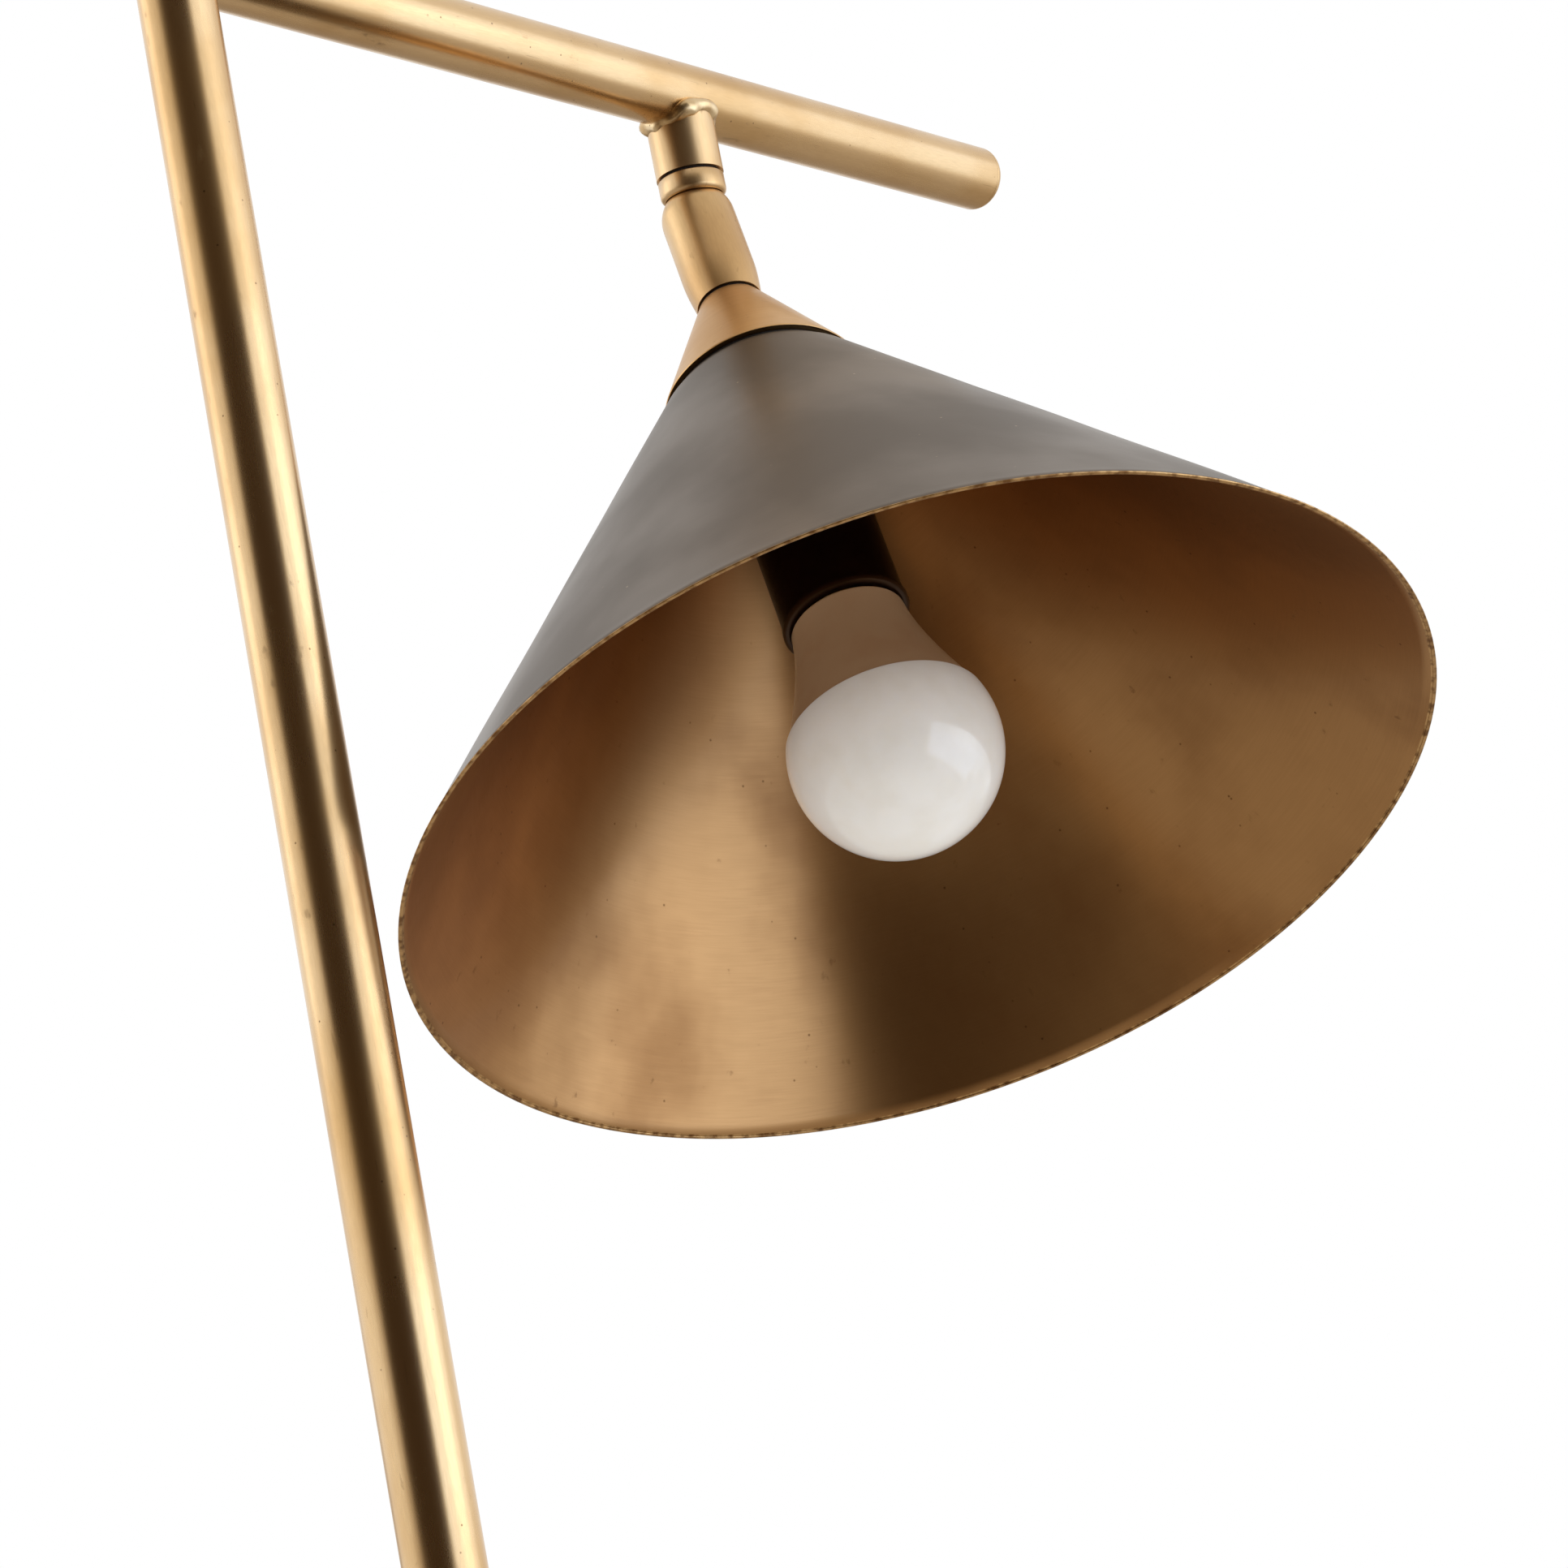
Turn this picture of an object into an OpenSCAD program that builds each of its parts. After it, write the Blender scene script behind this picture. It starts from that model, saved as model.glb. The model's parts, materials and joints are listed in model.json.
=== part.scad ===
// Tripod floor lamp: one long leaning leg that carries a boom arm, two rear legs, and a
// cone shade that hangs from a ball swivel under the arm. Millimetres, +Z up. The origin is
// on the floor, at the middle of the footprint; +X runs from the rear feet to the front foot.

/* [Legs] */
// Lean of the long front leg from upright, degrees
lean = 16; // [12:1:20]
// Outside diameter of the leg and arm tube
tube_od = 20.8; // [18:0.2:24]
// Wall of every tube
tube_wall = 1.5; // [1:0.1:2]
// Distance along the long leg from its ankle up to the arm's axis
arm_z = 1480; // [1380:10:1600]
// Length of the long leg above the arm's axis
leg_top = 35; // [24:1:60]
// Distance along the long leg from its ankle up to the hub's centre
hub_z = 840; // [760:10:900]
// Distance between the front foot and the line of the rear feet
foot_depth = 566; // [500:2:620]
// Distance between the two rear feet
foot_spread = 560; // [480:10:640]

/* [Arm] */
// Distance along the arm from the leg's axis to the drop stub's axis
stub_x = 204; // [190:1:220]
// Distance along the arm from the leg's axis to its free end
arm_len = 360; // [330:2:400]
// Outside diameter of the drop stub
stub_od = 20.6; // [20:0.2:20.8]
// Distance down the stub from the arm's axis to the swivel's pivot
drop = 41; // [38:1:50]

/* [Swivel] */
// Angle between the shade's axis and the stub's axis, degrees
tilt = 23; // [10:1:40]
// Direction in which the top of the head leans, turned from the arm about the stub, degrees
aim = 55; // [40:1:70]
// Furthest that the head tilts from the stub, degrees
tilt_max = 44; // [35:1:46]
// Radius of the swivel's ball
ball_r = 7.5; // [7:0.1:7.8]
// Outside radius of the swivel's barrel
barrel_r = 11.2; // [11:0.1:11.4]

/* [Shade] */
// Outside diameter of the shade at its rim
shade_d = 290; // [270:2:300]
// Height of the shade from its top plate to its rim
shade_h = 161; // [150:1:170]
// Outside diameter of the shade's top plate
shade_top_d = 59.8; // [56:0.2:62]
// Wall of the shade
shade_wall = 1.2; // [1:0.1:1.6]
// Outside diameter of the brass cap at its foot
cap_d = 59.2; // [56:0.2:60]

/* [Bulb] */
// Diameter of the bulb's globe
bulb_d = 60; // [58:0.5:60]
// Distance down the head's axis from the pivot to the middle of the globe
bulb_s = 205.4; // [204:0.2:207]
// Outside diameter of the lampholder
socket_d = 35.8; // [35:0.2:37]

/* [Hidden] */
$fn = 96;

brass = "#b58e5a";
bronze = "#6f6458";
phenolic = "#2a211b";
rubber = "#1c1b1a";
steel = "#9a9c9e";
white = "#e9e2d8";
aluminium = "#c8cacc";
slack = 0.05; // radial gap of a close fit
gap = 0.3; // gap between faces that pass each other
cut = 1; // how far a cutting solid stands past a face

// Tubes and legs
tube_r = tube_od / 2;
bore_r = tube_r - tube_wall;
ankle_z = 13; // height of the ball of each foot above the floor
ferrule_r = 14;
pad_h = 4;
pad_r = 11;
pad_peg_r = 3;
pad_peg_h = 5;
tube_start = 3; // where a leg tube starts above its ankle
collar_r = 12.6; // ferrule's collar round the tube
collar_h = 26;
front = [foot_depth / 2, 0, ankle_z];
rear = [-foot_depth / 2, foot_spread / 2, ankle_z];
hub = front + hub_z * [-sin(lean), 0, cos(lean)];
rear_run = hub - rear;
rear_len = norm(rear_run);
rear_lean = acos(rear_run[2] / rear_len);
rear_turn = atan2(rear_run[1], rear_run[0]);

// Hub
hub_r = 14.6;
hub_half = 36;
hub_ball_r = 19.5;
hub_socket_r = 13.8;
hub_socket_out = 70; // how far a rear socket reaches from the hub's centre
hub_socket_in = 42; // where a rear tube stops
sleeve_r = bore_r - 0.1;
sleeve_bore_r = 5;
sleeve_half = 32;
grub_r = 2.4;
grub_z = 24;
key_r = 1.5;
key_depth = 2;

// Wire, grommet and caps
wire_r = 2;
wire_bend = 10;
wire_hole_r = 4;
wire_start = 96;
grommet_z = 62;
grommet_hole_r = 5;
grommet_bore_r = 3.5;
grommet_flange_r = 7.4;
grommet_out = 2.4;
plug_len = 9;
end_cap_t = 3.4;
end_round = 3;

// Swivel, measured from the pivot
stub_r = stub_od / 2;
stub_end = 14.4; // stub's lower end above the pivot
collar_out_r = 10.1;
collar_top = 13.7;
collar_bottom = 7.2;
collar_hollow_r = barrel_r + gap;
collar_round = 1.9;
shank_r = 5;
shank_from = 10.7;
shank_to = 28.4;
neck_r = 3.7;
stud_bore_r = 2.3;
retainer_z = 26;
retainer_h = 1.5;
retainer_r = 7.6;
bushing_top = 25.7;

// Head, measured down its axis from the pivot
slot_r = neck_r + gap;
barrel_straight = 20;
barrel_end = 35;
barrel_end_r = 9.95;
barrel_bore_r = 7.6;
nipple_r = 5;
nipple_bore_r = 3.4;
nipple_from = 22.2;
nipple_to = 99;
cap_from = 35.8;
cap_to = 72.2;
cap_top_r = 9.6;
cap_wall = 1.4;
cap_r = cap_d / 2;
shade_from = 74;
shade_to = shade_from + shade_h;
shade_top_r = shade_top_d / 2;
shade_r = shade_d / 2;
shade_round = 1.2;
socket_r = socket_d / 2;
socket_from = 92;
socket_joint = 106;
socket_to = 159;
socket_bore_r = 15.4;
lip_r = socket_r + 0.5;
lip_h = 2.6;
shell_from = 131;
shell_to = 156;
shell_r = 14.2;
thread_pitch = 3.6;
thread_depth = 0.75;
disc_from = 118;
disc_to = 124;

// Bulb, measured down the head's axis from the pivot
globe_r = bulb_d / 2;
bulb_base_r = 13.1;
base_from = 131;
base_to = 157;
insulator_from = 128.4;
tip_from = 127.6;
collar_from = 159.8;
collar_to = 197;
collar_start_r = 16.6;
collar_end_r = 28.2;
opal_wall = 1.3;
chip = 2.8;
chip_count = 14;
chip_ring_r = 18;

// Quadratic curve through its two ends, pulled towards its middle point
function curve(a, m, b, n) =
    [for (i = [0:n]) let (t = i / n) (1 - t) * (1 - t) * a + 2 * t * (1 - t) * m + t * t * b];
// Arc of a circle in its own plane
function arc(c, r, from, to, n) =
    [for (i = [0:n]) let (t = from + (to - from) * i / n) c + r * [cos(t), sin(t)]];
// Rounded thread between two heights, on the crest radius r
function thread(r, from, to) =
    let (turns = floor((to - from) / thread_pitch), n = turns * 8)
    [for (i = [0:n]) let (t = i / n)
        [r - thread_depth * (1 + cos(360 * turns * t)) / 2, -(from + (to - from) * t)]];

// Frame of the long leg: +Z up the leg from its ankle, +X along the arm
module on_leg() {
    translate(front) rotate([0, -lean, 0]) children();
}
// Frame of a rear leg: +Z from its ankle to the hub; side 1 is left (+Y), -1 is right
module on_rear_leg(side) {
    translate([rear[0], side * rear[1], rear[2]])
        rotate([0, rear_lean, side * rear_turn]) children();
}
// Frame of the arm: +Z along it from the long leg's axis
module on_arm() {
    on_leg() translate([0, 0, arm_z]) rotate([0, 90, 0]) children();
}
// Frame of the swivel: origin at the pivot, +Z up the stub
module on_pivot() {
    on_leg() translate([stub_x, 0, arm_z - drop]) children();
}
// Frame of the head: origin at the pivot, -Z down the shade's axis
module on_head() {
    on_pivot() rotate([0, 0, aim]) rotate([0, tilt, 0]) children();
}
// Tube or rod along Z
module rod(r, from, to) {
    translate([0, 0, from]) cylinder(r = r, h = to - from);
}
// Ring on the head's axis, given by how far down it starts and ends
module ring(r, hole, from, to) {
    difference() {
        rod(r, -to, -from);
        rod(hole, -to - cut, -from + cut);
    }
}

// Ball foot with a collar round the leg tube and a hole for the pad's peg
module ferrule() {
    difference() {
        union() {
            sphere(r = ferrule_r);
            rod(collar_r, 0, collar_h);
        }
        rod(tube_r + slack, tube_start - slack, collar_h + cut);
    }
}
module foot_cut(x, y) {
    difference() {
        children();
        translate([x, y, 0]) rod(2 * ferrule_r, -ferrule_r, pad_h);
        translate([x, y, 0]) rod(pad_peg_r + slack, 0, pad_h + pad_peg_h + slack);
    }
}
module front_ferrule() {
    color(brass) foot_cut(front[0], 0) on_leg() ferrule();
}
module rear_ferrule(side) {
    color(brass) foot_cut(rear[0], side * rear[1]) on_rear_leg(side) ferrule();
}
module left_ferrule() {
    rear_ferrule(1);
}
module right_ferrule() {
    rear_ferrule(-1);
}
// Rubber pad, chamfered where it meets the floor, with a peg up into the ferrule
module pad(x, y) {
    color(rubber) translate([x, y, 0]) {
        cylinder(r1 = pad_r - 1, r2 = pad_r, h = 1);
        rod(pad_r, 1, pad_h);
        rod(pad_peg_r, pad_h, pad_h + pad_peg_h);
    }
}
module front_pad() {
    pad(front[0], 0);
}
module left_pad() {
    pad(rear[0], rear[1]);
}
module right_pad() {
    pad(rear[0], -rear[1]);
}

module main_leg_lower() {
    color(brass) on_leg() difference() {
        rod(tube_r, tube_start, hub_z - slack);
        rod(bore_r, tube_start - cut, hub_z + cut);
        translate([0, 0, grommet_z]) rotate([0, -90, 0]) rod(grommet_hole_r, 0, 2 * tube_r);
    }
}
module main_leg_upper() {
    color(brass) on_leg() difference() {
        rod(tube_r, hub_z + slack, arm_z + leg_top);
        rod(bore_r, hub_z - cut, arm_z + leg_top + cut);
        translate([0, 0, arm_z]) rotate([0, 90, 0]) rod(wire_hole_r, 0, 2 * tube_r);
    }
}
module leg_joint_sleeve() {
    color(steel) on_leg() difference() {
        rod(sleeve_r, hub_z - sleeve_half, hub_z + sleeve_half);
        rod(sleeve_bore_r, hub_z - sleeve_half - cut, hub_z + sleeve_half + cut);
    }
}
module rear_leg(side) {
    color(brass) on_rear_leg(side) difference() {
        rod(tube_r, tube_start, rear_len - hub_socket_in);
        rod(bore_r, tube_start - cut, rear_len - hub_socket_in + cut);
    }
}
module rear_leg_left() {
    rear_leg(1);
}
module rear_leg_right() {
    rear_leg(-1);
}
// Places a radial screw in the hub: one above and one below on the long leg, one per rear leg
module at_grub_screws() {
    for (z = [-grub_z, grub_z]) on_leg() translate([0, 0, hub_z + z]) rotate([0, 90, 0]) children();
    for (side = [-1, 1]) on_rear_leg(side)
        translate([0, 0, rear_len - hub_socket_out + 10]) rotate([0, -90, 0]) children();
}
module leg_hub() {
    color(brass) difference() {
        union() {
            on_leg() rod(hub_r, hub_z - hub_half, hub_z + hub_half);
            translate(hub) sphere(r = hub_ball_r);
            for (side = [-1, 1]) on_rear_leg(side) rod(hub_socket_r, rear_len - hub_socket_out, rear_len);
        }
        on_leg() rod(tube_r + slack, hub_z - hub_half - cut, hub_z + hub_half + cut);
        for (side = [-1, 1]) on_rear_leg(side)
            rod(tube_r + slack, rear_len - hub_socket_out - cut, rear_len - hub_socket_in + slack);
        at_grub_screws() rod(grub_r + slack, tube_r - slack, 2 * tube_r);
    }
}
module hub_grub_screws() {
    color(steel) at_grub_screws() difference() {
        rod(grub_r, tube_r + slack, hub_socket_r - 0.4);
        translate([0, 0, hub_socket_r - key_depth]) cylinder(r = key_r, h = key_depth + cut, $fn = 6);
    }
}
// End cap with a rounded edge and a plug that fits the tube
module end_plug(face) {
    color(brass) {
        rod(sleeve_r, face - plug_len, face + slack);
        translate([0, 0, face + slack]) rotate_extrude() polygon(concat(
            [[0, 0], [tube_r, 0]],
            arc([tube_r - end_round, end_cap_t - end_round], end_round, 0, 90, 12),
            [[0, end_cap_t]]
        ));
    }
}
module leg_top_cap() {
    on_leg() end_plug(arm_z + leg_top);
}
module arm_end_cap() {
    on_arm() end_plug(arm_len - end_cap_t);
}
module cable_grommet() {
    color(rubber) on_leg() difference() {
        translate([0, 0, grommet_z]) rotate([0, -90, 0]) {
            rod(grommet_hole_r - slack, bore_r, tube_r + 1);
            difference() {
                rod(grommet_flange_r, tube_r - 3, tube_r + grommet_out);
                translate([0, 0, slack]) rotate([0, 90, 0]) rod(tube_r, -tube_od, tube_od);
            }
        }
        translate([0, 0, grommet_z]) rotate([0, -90, 0]) rod(grommet_bore_r, 0, 2 * tube_r);
    }
}

// Arm: its near end is coped to the long leg, and it is drilled for the wire at the stub
module boom_arm() {
    color(brass) difference() {
        on_arm() rod(tube_r, 0, arm_len - end_cap_t);
        on_arm() rod(bore_r, -cut, arm_len);
        on_leg() rod(tube_r + slack, arm_z - 2 * tube_od, arm_z + 2 * tube_od);
        on_pivot() rod(wire_hole_r, 0, drop);
    }
}
// Stub: a short tube coped to the underside of the arm
module drop_stub() {
    color(brass) difference() {
        on_pivot() rod(stub_r, stub_end, drop);
        on_pivot() rod(bore_r, stub_end - cut, drop + cut);
        on_arm() rod(tube_r + slack, stub_x - stub_od, stub_x + stub_od);
    }
}
module stub_bushing() {
    color(brass) on_pivot() difference() {
        rod(bore_r - slack, stub_end + 0.4, bushing_top);
        rod(shank_r + slack, stub_end - cut, bushing_top + cut);
    }
}
// Flexible lead inside the tubes: up the leg, along the arm and down into the stub
module frame_wire() {
    color(rubber) on_leg() {
        rod(wire_r, wire_start, arm_z - wire_bend);
        translate([wire_bend, 0, arm_z - wire_bend]) rotate([90, 0, 0]) rotate([0, 0, 90])
            rotate_extrude(angle = 90) translate([wire_bend, 0]) circle(r = wire_r, $fn = 32);
        translate([0, 0, arm_z]) rotate([0, 90, 0]) rod(wire_r, wire_bend, stub_x - wire_bend);
        translate([stub_x - wire_bend, 0, arm_z - wire_bend]) rotate([90, 0, 0])
            rotate_extrude(angle = 90) translate([wire_bend, 0]) circle(r = wire_r, $fn = 32);
        translate([stub_x, 0, 0]) rod(wire_r, arm_z - drop + shank_to + gap, arm_z - wire_bend);
    }
}

// Ball, neck and hollow shank; the shank turns in the stub's bushing
module ball_stud() {
    color(brass) on_pivot() difference() {
        union() {
            sphere(r = ball_r);
            rod(neck_r, 0, shank_from + cut);
            rod(shank_r, shank_from, shank_to);
        }
        rod(stud_bore_r, -ball_r - cut, shank_to + cut);
    }
}
// Collar: rounded underneath and hollowed to clear the barrel's dome
module swivel_collar() {
    color(brass) on_pivot() difference() {
        rotate_extrude() polygon(concat(
            [[shank_r + slack, collar_top], [shank_r + slack, collar_bottom]],
            arc([collar_out_r - collar_round, collar_bottom + collar_round], collar_round, -90, 0, 12),
            [[collar_out_r, collar_top - 0.4], [collar_out_r - 0.4, collar_top]]
        ));
        sphere(r = collar_hollow_r);
    }
}
module swivel_washer() {
    color(rubber) on_pivot() difference() {
        rod(stub_r - 1.1, collar_top + slack, stub_end - slack);
        rod(shank_r + slack, collar_top, stub_end);
    }
}
module stud_retainer() {
    color(steel) on_pivot() difference() {
        rod(retainer_r, retainer_z, retainer_z + retainer_h);
        rod(shank_r + slack, retainer_z - cut, retainer_z + retainer_h + cut);
    }
}

// Barrel: domed, with a cavity for the ball and a slot in which the neck travels
module swivel_barrel() {
    color(brass) on_head() difference() {
        rotate_extrude() polygon(concat(
            arc([0, 0], barrel_r, 90, 0, 24),
            [[barrel_r, -barrel_straight]],
            curve([barrel_r, -barrel_straight - 2], [barrel_r, -27], [barrel_end_r, -barrel_end], 8),
            [[0, -barrel_end]]
        ));
        sphere(r = ball_r + slack);
        rod(barrel_bore_r, -barrel_end - cut, 0);
        rotate([90, 0, 0]) linear_extrude(height = 2 * slot_r, center = true) {
            polygon(concat([[0, 0]], arc([0, 0], 2 * barrel_r, 90, 90 + tilt_max, 6)));
            for (t = [0, tilt_max]) rotate(t) translate([-slot_r, 0]) square([2 * slot_r, 2 * barrel_r]);
        }
    }
}
module ball_seat() {
    color(white) on_head() difference() {
        rod(barrel_bore_r - slack, -10, -4);
        sphere(r = ball_r + slack);
        rod(4.6, -11, 0);
    }
}
// Three dished washers that press the seat against the ball
module disc_springs() {
    color(steel) on_head() for (i = [0:2]) translate([0, 0, -10.2 - 1.15 * i])
        rotate_extrude() polygon([[4.4, 0], [7.3, -0.6], [7.3, -1.1], [4.4, -0.5]]);
}
module tension_nut() {
    color(brass) on_head() difference() {
        rod(barrel_bore_r - slack, -barrel_end + 0.6, -14);
        rod(nipple_bore_r, -barrel_end, -13);
        rod(nipple_r + slack, -barrel_end - cut, -nipple_from + slack);
    }
}
module head_nipple() {
    color(steel) on_head() ring(nipple_r, nipple_bore_r, nipple_from, nipple_to);
}
module barrel_gasket() {
    color(rubber) on_head() ring(barrel_end_r - 0.7, nipple_r + slack, barrel_end + slack, cap_from - slack);
}
// Cap: a thin cone with a thick top and a turned-in foot that rests on the gasket
module shade_cap() {
    color(brass) on_head() rotate_extrude() polygon([
        [nipple_r + slack, -cap_from], [cap_top_r - 0.3, -cap_from], [cap_top_r, -cap_from - 0.5],
        [cap_r, -cap_to + 0.5], [cap_r - 0.3, -cap_to], [cap_r - 5, -cap_to],
        [cap_r - 5, -cap_to + 1.5], [cap_r - cap_wall - 1.7, -cap_to + 1.5],
        [cap_top_r - 0.9, -cap_from - 4], [nipple_r + slack, -cap_from - 4]
    ]);
}
module shade_gasket() {
    color(rubber) on_head() ring(cap_r - 1.5, nipple_r + slack, cap_to + slack, shade_from - slack);
}
// Shade: a spun cone with a flat, drilled top and a plain rim
module shade() {
    color(bronze) on_head() rotate_extrude() polygon(concat(
        [[nipple_r + slack, -shade_from]],
        arc([shade_top_r - shade_round, -shade_from - shade_round], shade_round, 90, 20, 6),
        [
            [shade_r, -shade_to], [shade_r - shade_wall, -shade_to],
            [shade_top_r - shade_wall, -shade_from - shade_wall - 0.6],
            [shade_top_r - 2 * shade_wall, -shade_from - shade_wall],
            [nipple_r + slack, -shade_from - shade_wall]
        ]
    ));
}
module lock_washer() {
    color(steel) on_head() ring(12, nipple_r + slack, shade_from + shade_wall + slack, shade_from + 2.6);
}
module lock_nut() {
    color(brass) on_head() difference() {
        translate([0, 0, -shade_from - 7.6]) cylinder(r = 8.6, h = 4.9, $fn = 6);
        rod(nipple_r + slack, -shade_from - 9, -shade_from);
    }
}

// Lampholder: cap with the nipple's thread, body with a ridged mouth, shell and contacts
module socket_cap() {
    color(phenolic) on_head() difference() {
        rotate_extrude() polygon(concat(
            [[0, -socket_from]],
            arc([socket_r - 5, -socket_from - 4.6], 4.6, 90, 0, 8),
            [[socket_r - 0.4, -socket_joint + slack], [0, -socket_joint + slack]]
        ));
        rod(nipple_r + slack, -nipple_to - slack, -socket_from + cut);
        rod(wire_r + 0.4, -socket_joint - cut, -socket_from);
        rod(socket_bore_r - 3, -socket_joint - cut, -socket_joint + 4);
    }
}
module socket_body() {
    color(phenolic) on_head() difference() {
        union() {
            rod(socket_r, -socket_to + lip_h, -socket_joint);
            rotate_extrude() polygon([
                [0, -socket_to], [lip_r - 0.6, -socket_to], [lip_r, -socket_to + 0.6],
                [lip_r, -socket_to + lip_h - 0.5], [lip_r - 0.5, -socket_to + lip_h],
                [socket_r - 0.5, -socket_to + lip_h + 0.1], [0, -socket_to + lip_h + 0.1]
            ]);
        }
        rod(socket_bore_r, -socket_to - cut, -socket_joint - 6);
        rod(socket_bore_r - 2, -socket_to - cut, -socket_joint + cut);
    }
}
module screw_shell() {
    color(brass) on_head() rotate_extrude() polygon(concat(
        thread(shell_r, shell_from, shell_to),
        [[shell_r + 0.9, -shell_to], [shell_r + 0.9, -shell_from]]
    ));
}
module socket_disc() {
    color(white) on_head() difference() {
        rod(socket_bore_r - slack, -disc_to, -disc_from);
        rod(wire_r + 0.4, -disc_to - cut, -disc_from + cut);
    }
}
module centre_contact() {
    color(brass) on_head() {
        rod(4.5, -disc_to - 1, -disc_to - slack);
        rod(3, -tip_from + gap, -disc_to - 1);
    }
}
module head_wire() {
    color(rubber) on_head() rod(wire_r, -disc_to + cut, -nipple_from + 2);
}

module bulb_screw_base() {
    color(aluminium) on_head() rotate_extrude() polygon(concat(
        [[bulb_base_r - 2.2, -base_from]],
        thread(bulb_base_r, base_from, base_to),
        [[bulb_base_r - 2.2, -base_to]]
    ));
}
module bulb_insulator() {
    color(phenolic) on_head() rotate_extrude() polygon([
        [0, -insulator_from], [4.8, -insulator_from], [11.8, -base_from + 0.4],
        [11.8, -base_from + slack], [0, -base_from + slack]
    ]);
}
module bulb_tip() {
    color(steel) on_head() rotate_extrude() polygon([
        [0, -tip_from], [3, -tip_from], [4.5, -insulator_from + slack], [0, -insulator_from + slack]
    ]);
}
// Collar: a hollow plastic body that flares from the screw base to the globe
module bulb_collar() {
    color(white) on_head() rotate_extrude() polygon(concat(
        [[bulb_base_r - 2.4, -base_from - 2], [bulb_base_r - 2.4, -base_to - slack]],
        [[bulb_base_r - 0.4, -base_to - slack], [bulb_base_r - 0.4, -collar_from]],
        curve([collar_start_r, -collar_from], [collar_start_r + 1.6, -174], [collar_end_r, -collar_to], 16),
        [[collar_end_r - 1.5, -collar_to]],
        curve([collar_end_r - 1.7, -collar_to + 1], [collar_start_r, -174],
            [collar_start_r - 2.5, -collar_from - 1.5], 8),
        [[bulb_base_r - 4, -collar_from], [bulb_base_r - 4, -base_from - 2]]
    ));
}
module bulb_diffuser() {
    color(white) on_head() translate([0, 0, -bulb_s]) difference() {
        sphere(r = globe_r);
        sphere(r = globe_r - opal_wall);
        rod(globe_r + cut, bulb_s - collar_to - slack, globe_r + cut);
    }
}
module led_board() {
    color(aluminium) on_head() rod(collar_end_r - 3, -collar_to - 1.2, -collar_to);
}
module led_chips() {
    color("#f2d65a") on_head() for (i = [1:chip_count]) rotate([0, 0, 360 * i / chip_count])
        translate([chip_ring_r, 0, -collar_to - 1.2 - slack - 0.4]) cube([chip, chip, 0.8], center = true);
}
module driver_board() {
    color("#2f6b3c") on_head() translate([0, 0, -172]) cube([1.6, 17, 36], center = true);
}

main_leg_lower();
main_leg_upper();
leg_joint_sleeve();
leg_hub();
hub_grub_screws();
rear_leg_left();
rear_leg_right();
front_ferrule();
left_ferrule();
right_ferrule();
front_pad();
left_pad();
right_pad();
leg_top_cap();
cable_grommet();
boom_arm();
arm_end_cap();
drop_stub();
stub_bushing();
frame_wire();
ball_stud();
swivel_collar();
swivel_washer();
stud_retainer();
swivel_barrel();
ball_seat();
disc_springs();
tension_nut();
head_nipple();
barrel_gasket();
shade_cap();
shade_gasket();
shade();
lock_washer();
lock_nut();
socket_cap();
socket_body();
screw_shell();
socket_disc();
centre_contact();
head_wire();
bulb_screw_base();
bulb_insulator();
bulb_tip();
bulb_collar();
bulb_diffuser();
led_board();
led_chips();
driver_board();
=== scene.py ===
"""Looks of the tripod floor lamp: brass legs and arm, ball swivel, spun cone shade and bulb.

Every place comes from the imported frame. Local sizes are millimetres, measured in the axes of
the sub-assembly that holds them; meshes are written to Blender in metres, in the row frame.
"""

import json
import logging
import math
from collections.abc import Callable, Sequence
from dataclasses import dataclass, field
from enum import Enum

import bmesh
import bpy
from mathutils import Matrix, Vector, noise


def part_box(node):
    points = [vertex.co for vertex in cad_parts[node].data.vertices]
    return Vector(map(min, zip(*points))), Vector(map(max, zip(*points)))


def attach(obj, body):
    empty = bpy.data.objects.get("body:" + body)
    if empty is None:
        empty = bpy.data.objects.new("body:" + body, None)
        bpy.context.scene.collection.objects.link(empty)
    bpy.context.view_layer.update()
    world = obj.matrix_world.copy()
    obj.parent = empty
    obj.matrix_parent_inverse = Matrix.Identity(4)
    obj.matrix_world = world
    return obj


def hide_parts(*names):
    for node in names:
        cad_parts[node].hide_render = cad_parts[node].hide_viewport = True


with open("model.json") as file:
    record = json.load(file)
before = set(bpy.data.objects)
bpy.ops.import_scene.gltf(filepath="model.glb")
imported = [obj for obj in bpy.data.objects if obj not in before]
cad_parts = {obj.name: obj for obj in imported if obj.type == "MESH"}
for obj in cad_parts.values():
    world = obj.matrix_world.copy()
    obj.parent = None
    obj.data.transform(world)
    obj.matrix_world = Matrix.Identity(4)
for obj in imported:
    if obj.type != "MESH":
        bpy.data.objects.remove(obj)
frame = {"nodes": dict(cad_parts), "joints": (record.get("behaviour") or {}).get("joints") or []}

LOG = logging.getLogger("tripod_lamp")
MM = 0.001
SHARP_DEG = 38
EASED_DEG = 40
FLAT_DEG = 0.4
WELD_M = 2e-6
TINY = 1e-6
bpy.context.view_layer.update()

Outline = list[tuple[float, float]]
Corner = tuple[float, float, float]
Material = bpy.types.Material
Mesh = bpy.types.Mesh
Piece = bpy.types.Object
Socket = bpy.types.NodeSocket
Tree = bpy.types.NodeTree


class Grain(Enum):
    """Which way the marks of the brush or the lathe tool run on a metal part."""

    ALONG = "along the axis"
    AROUND = "around the axis"


# --- axes and shapes


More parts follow.
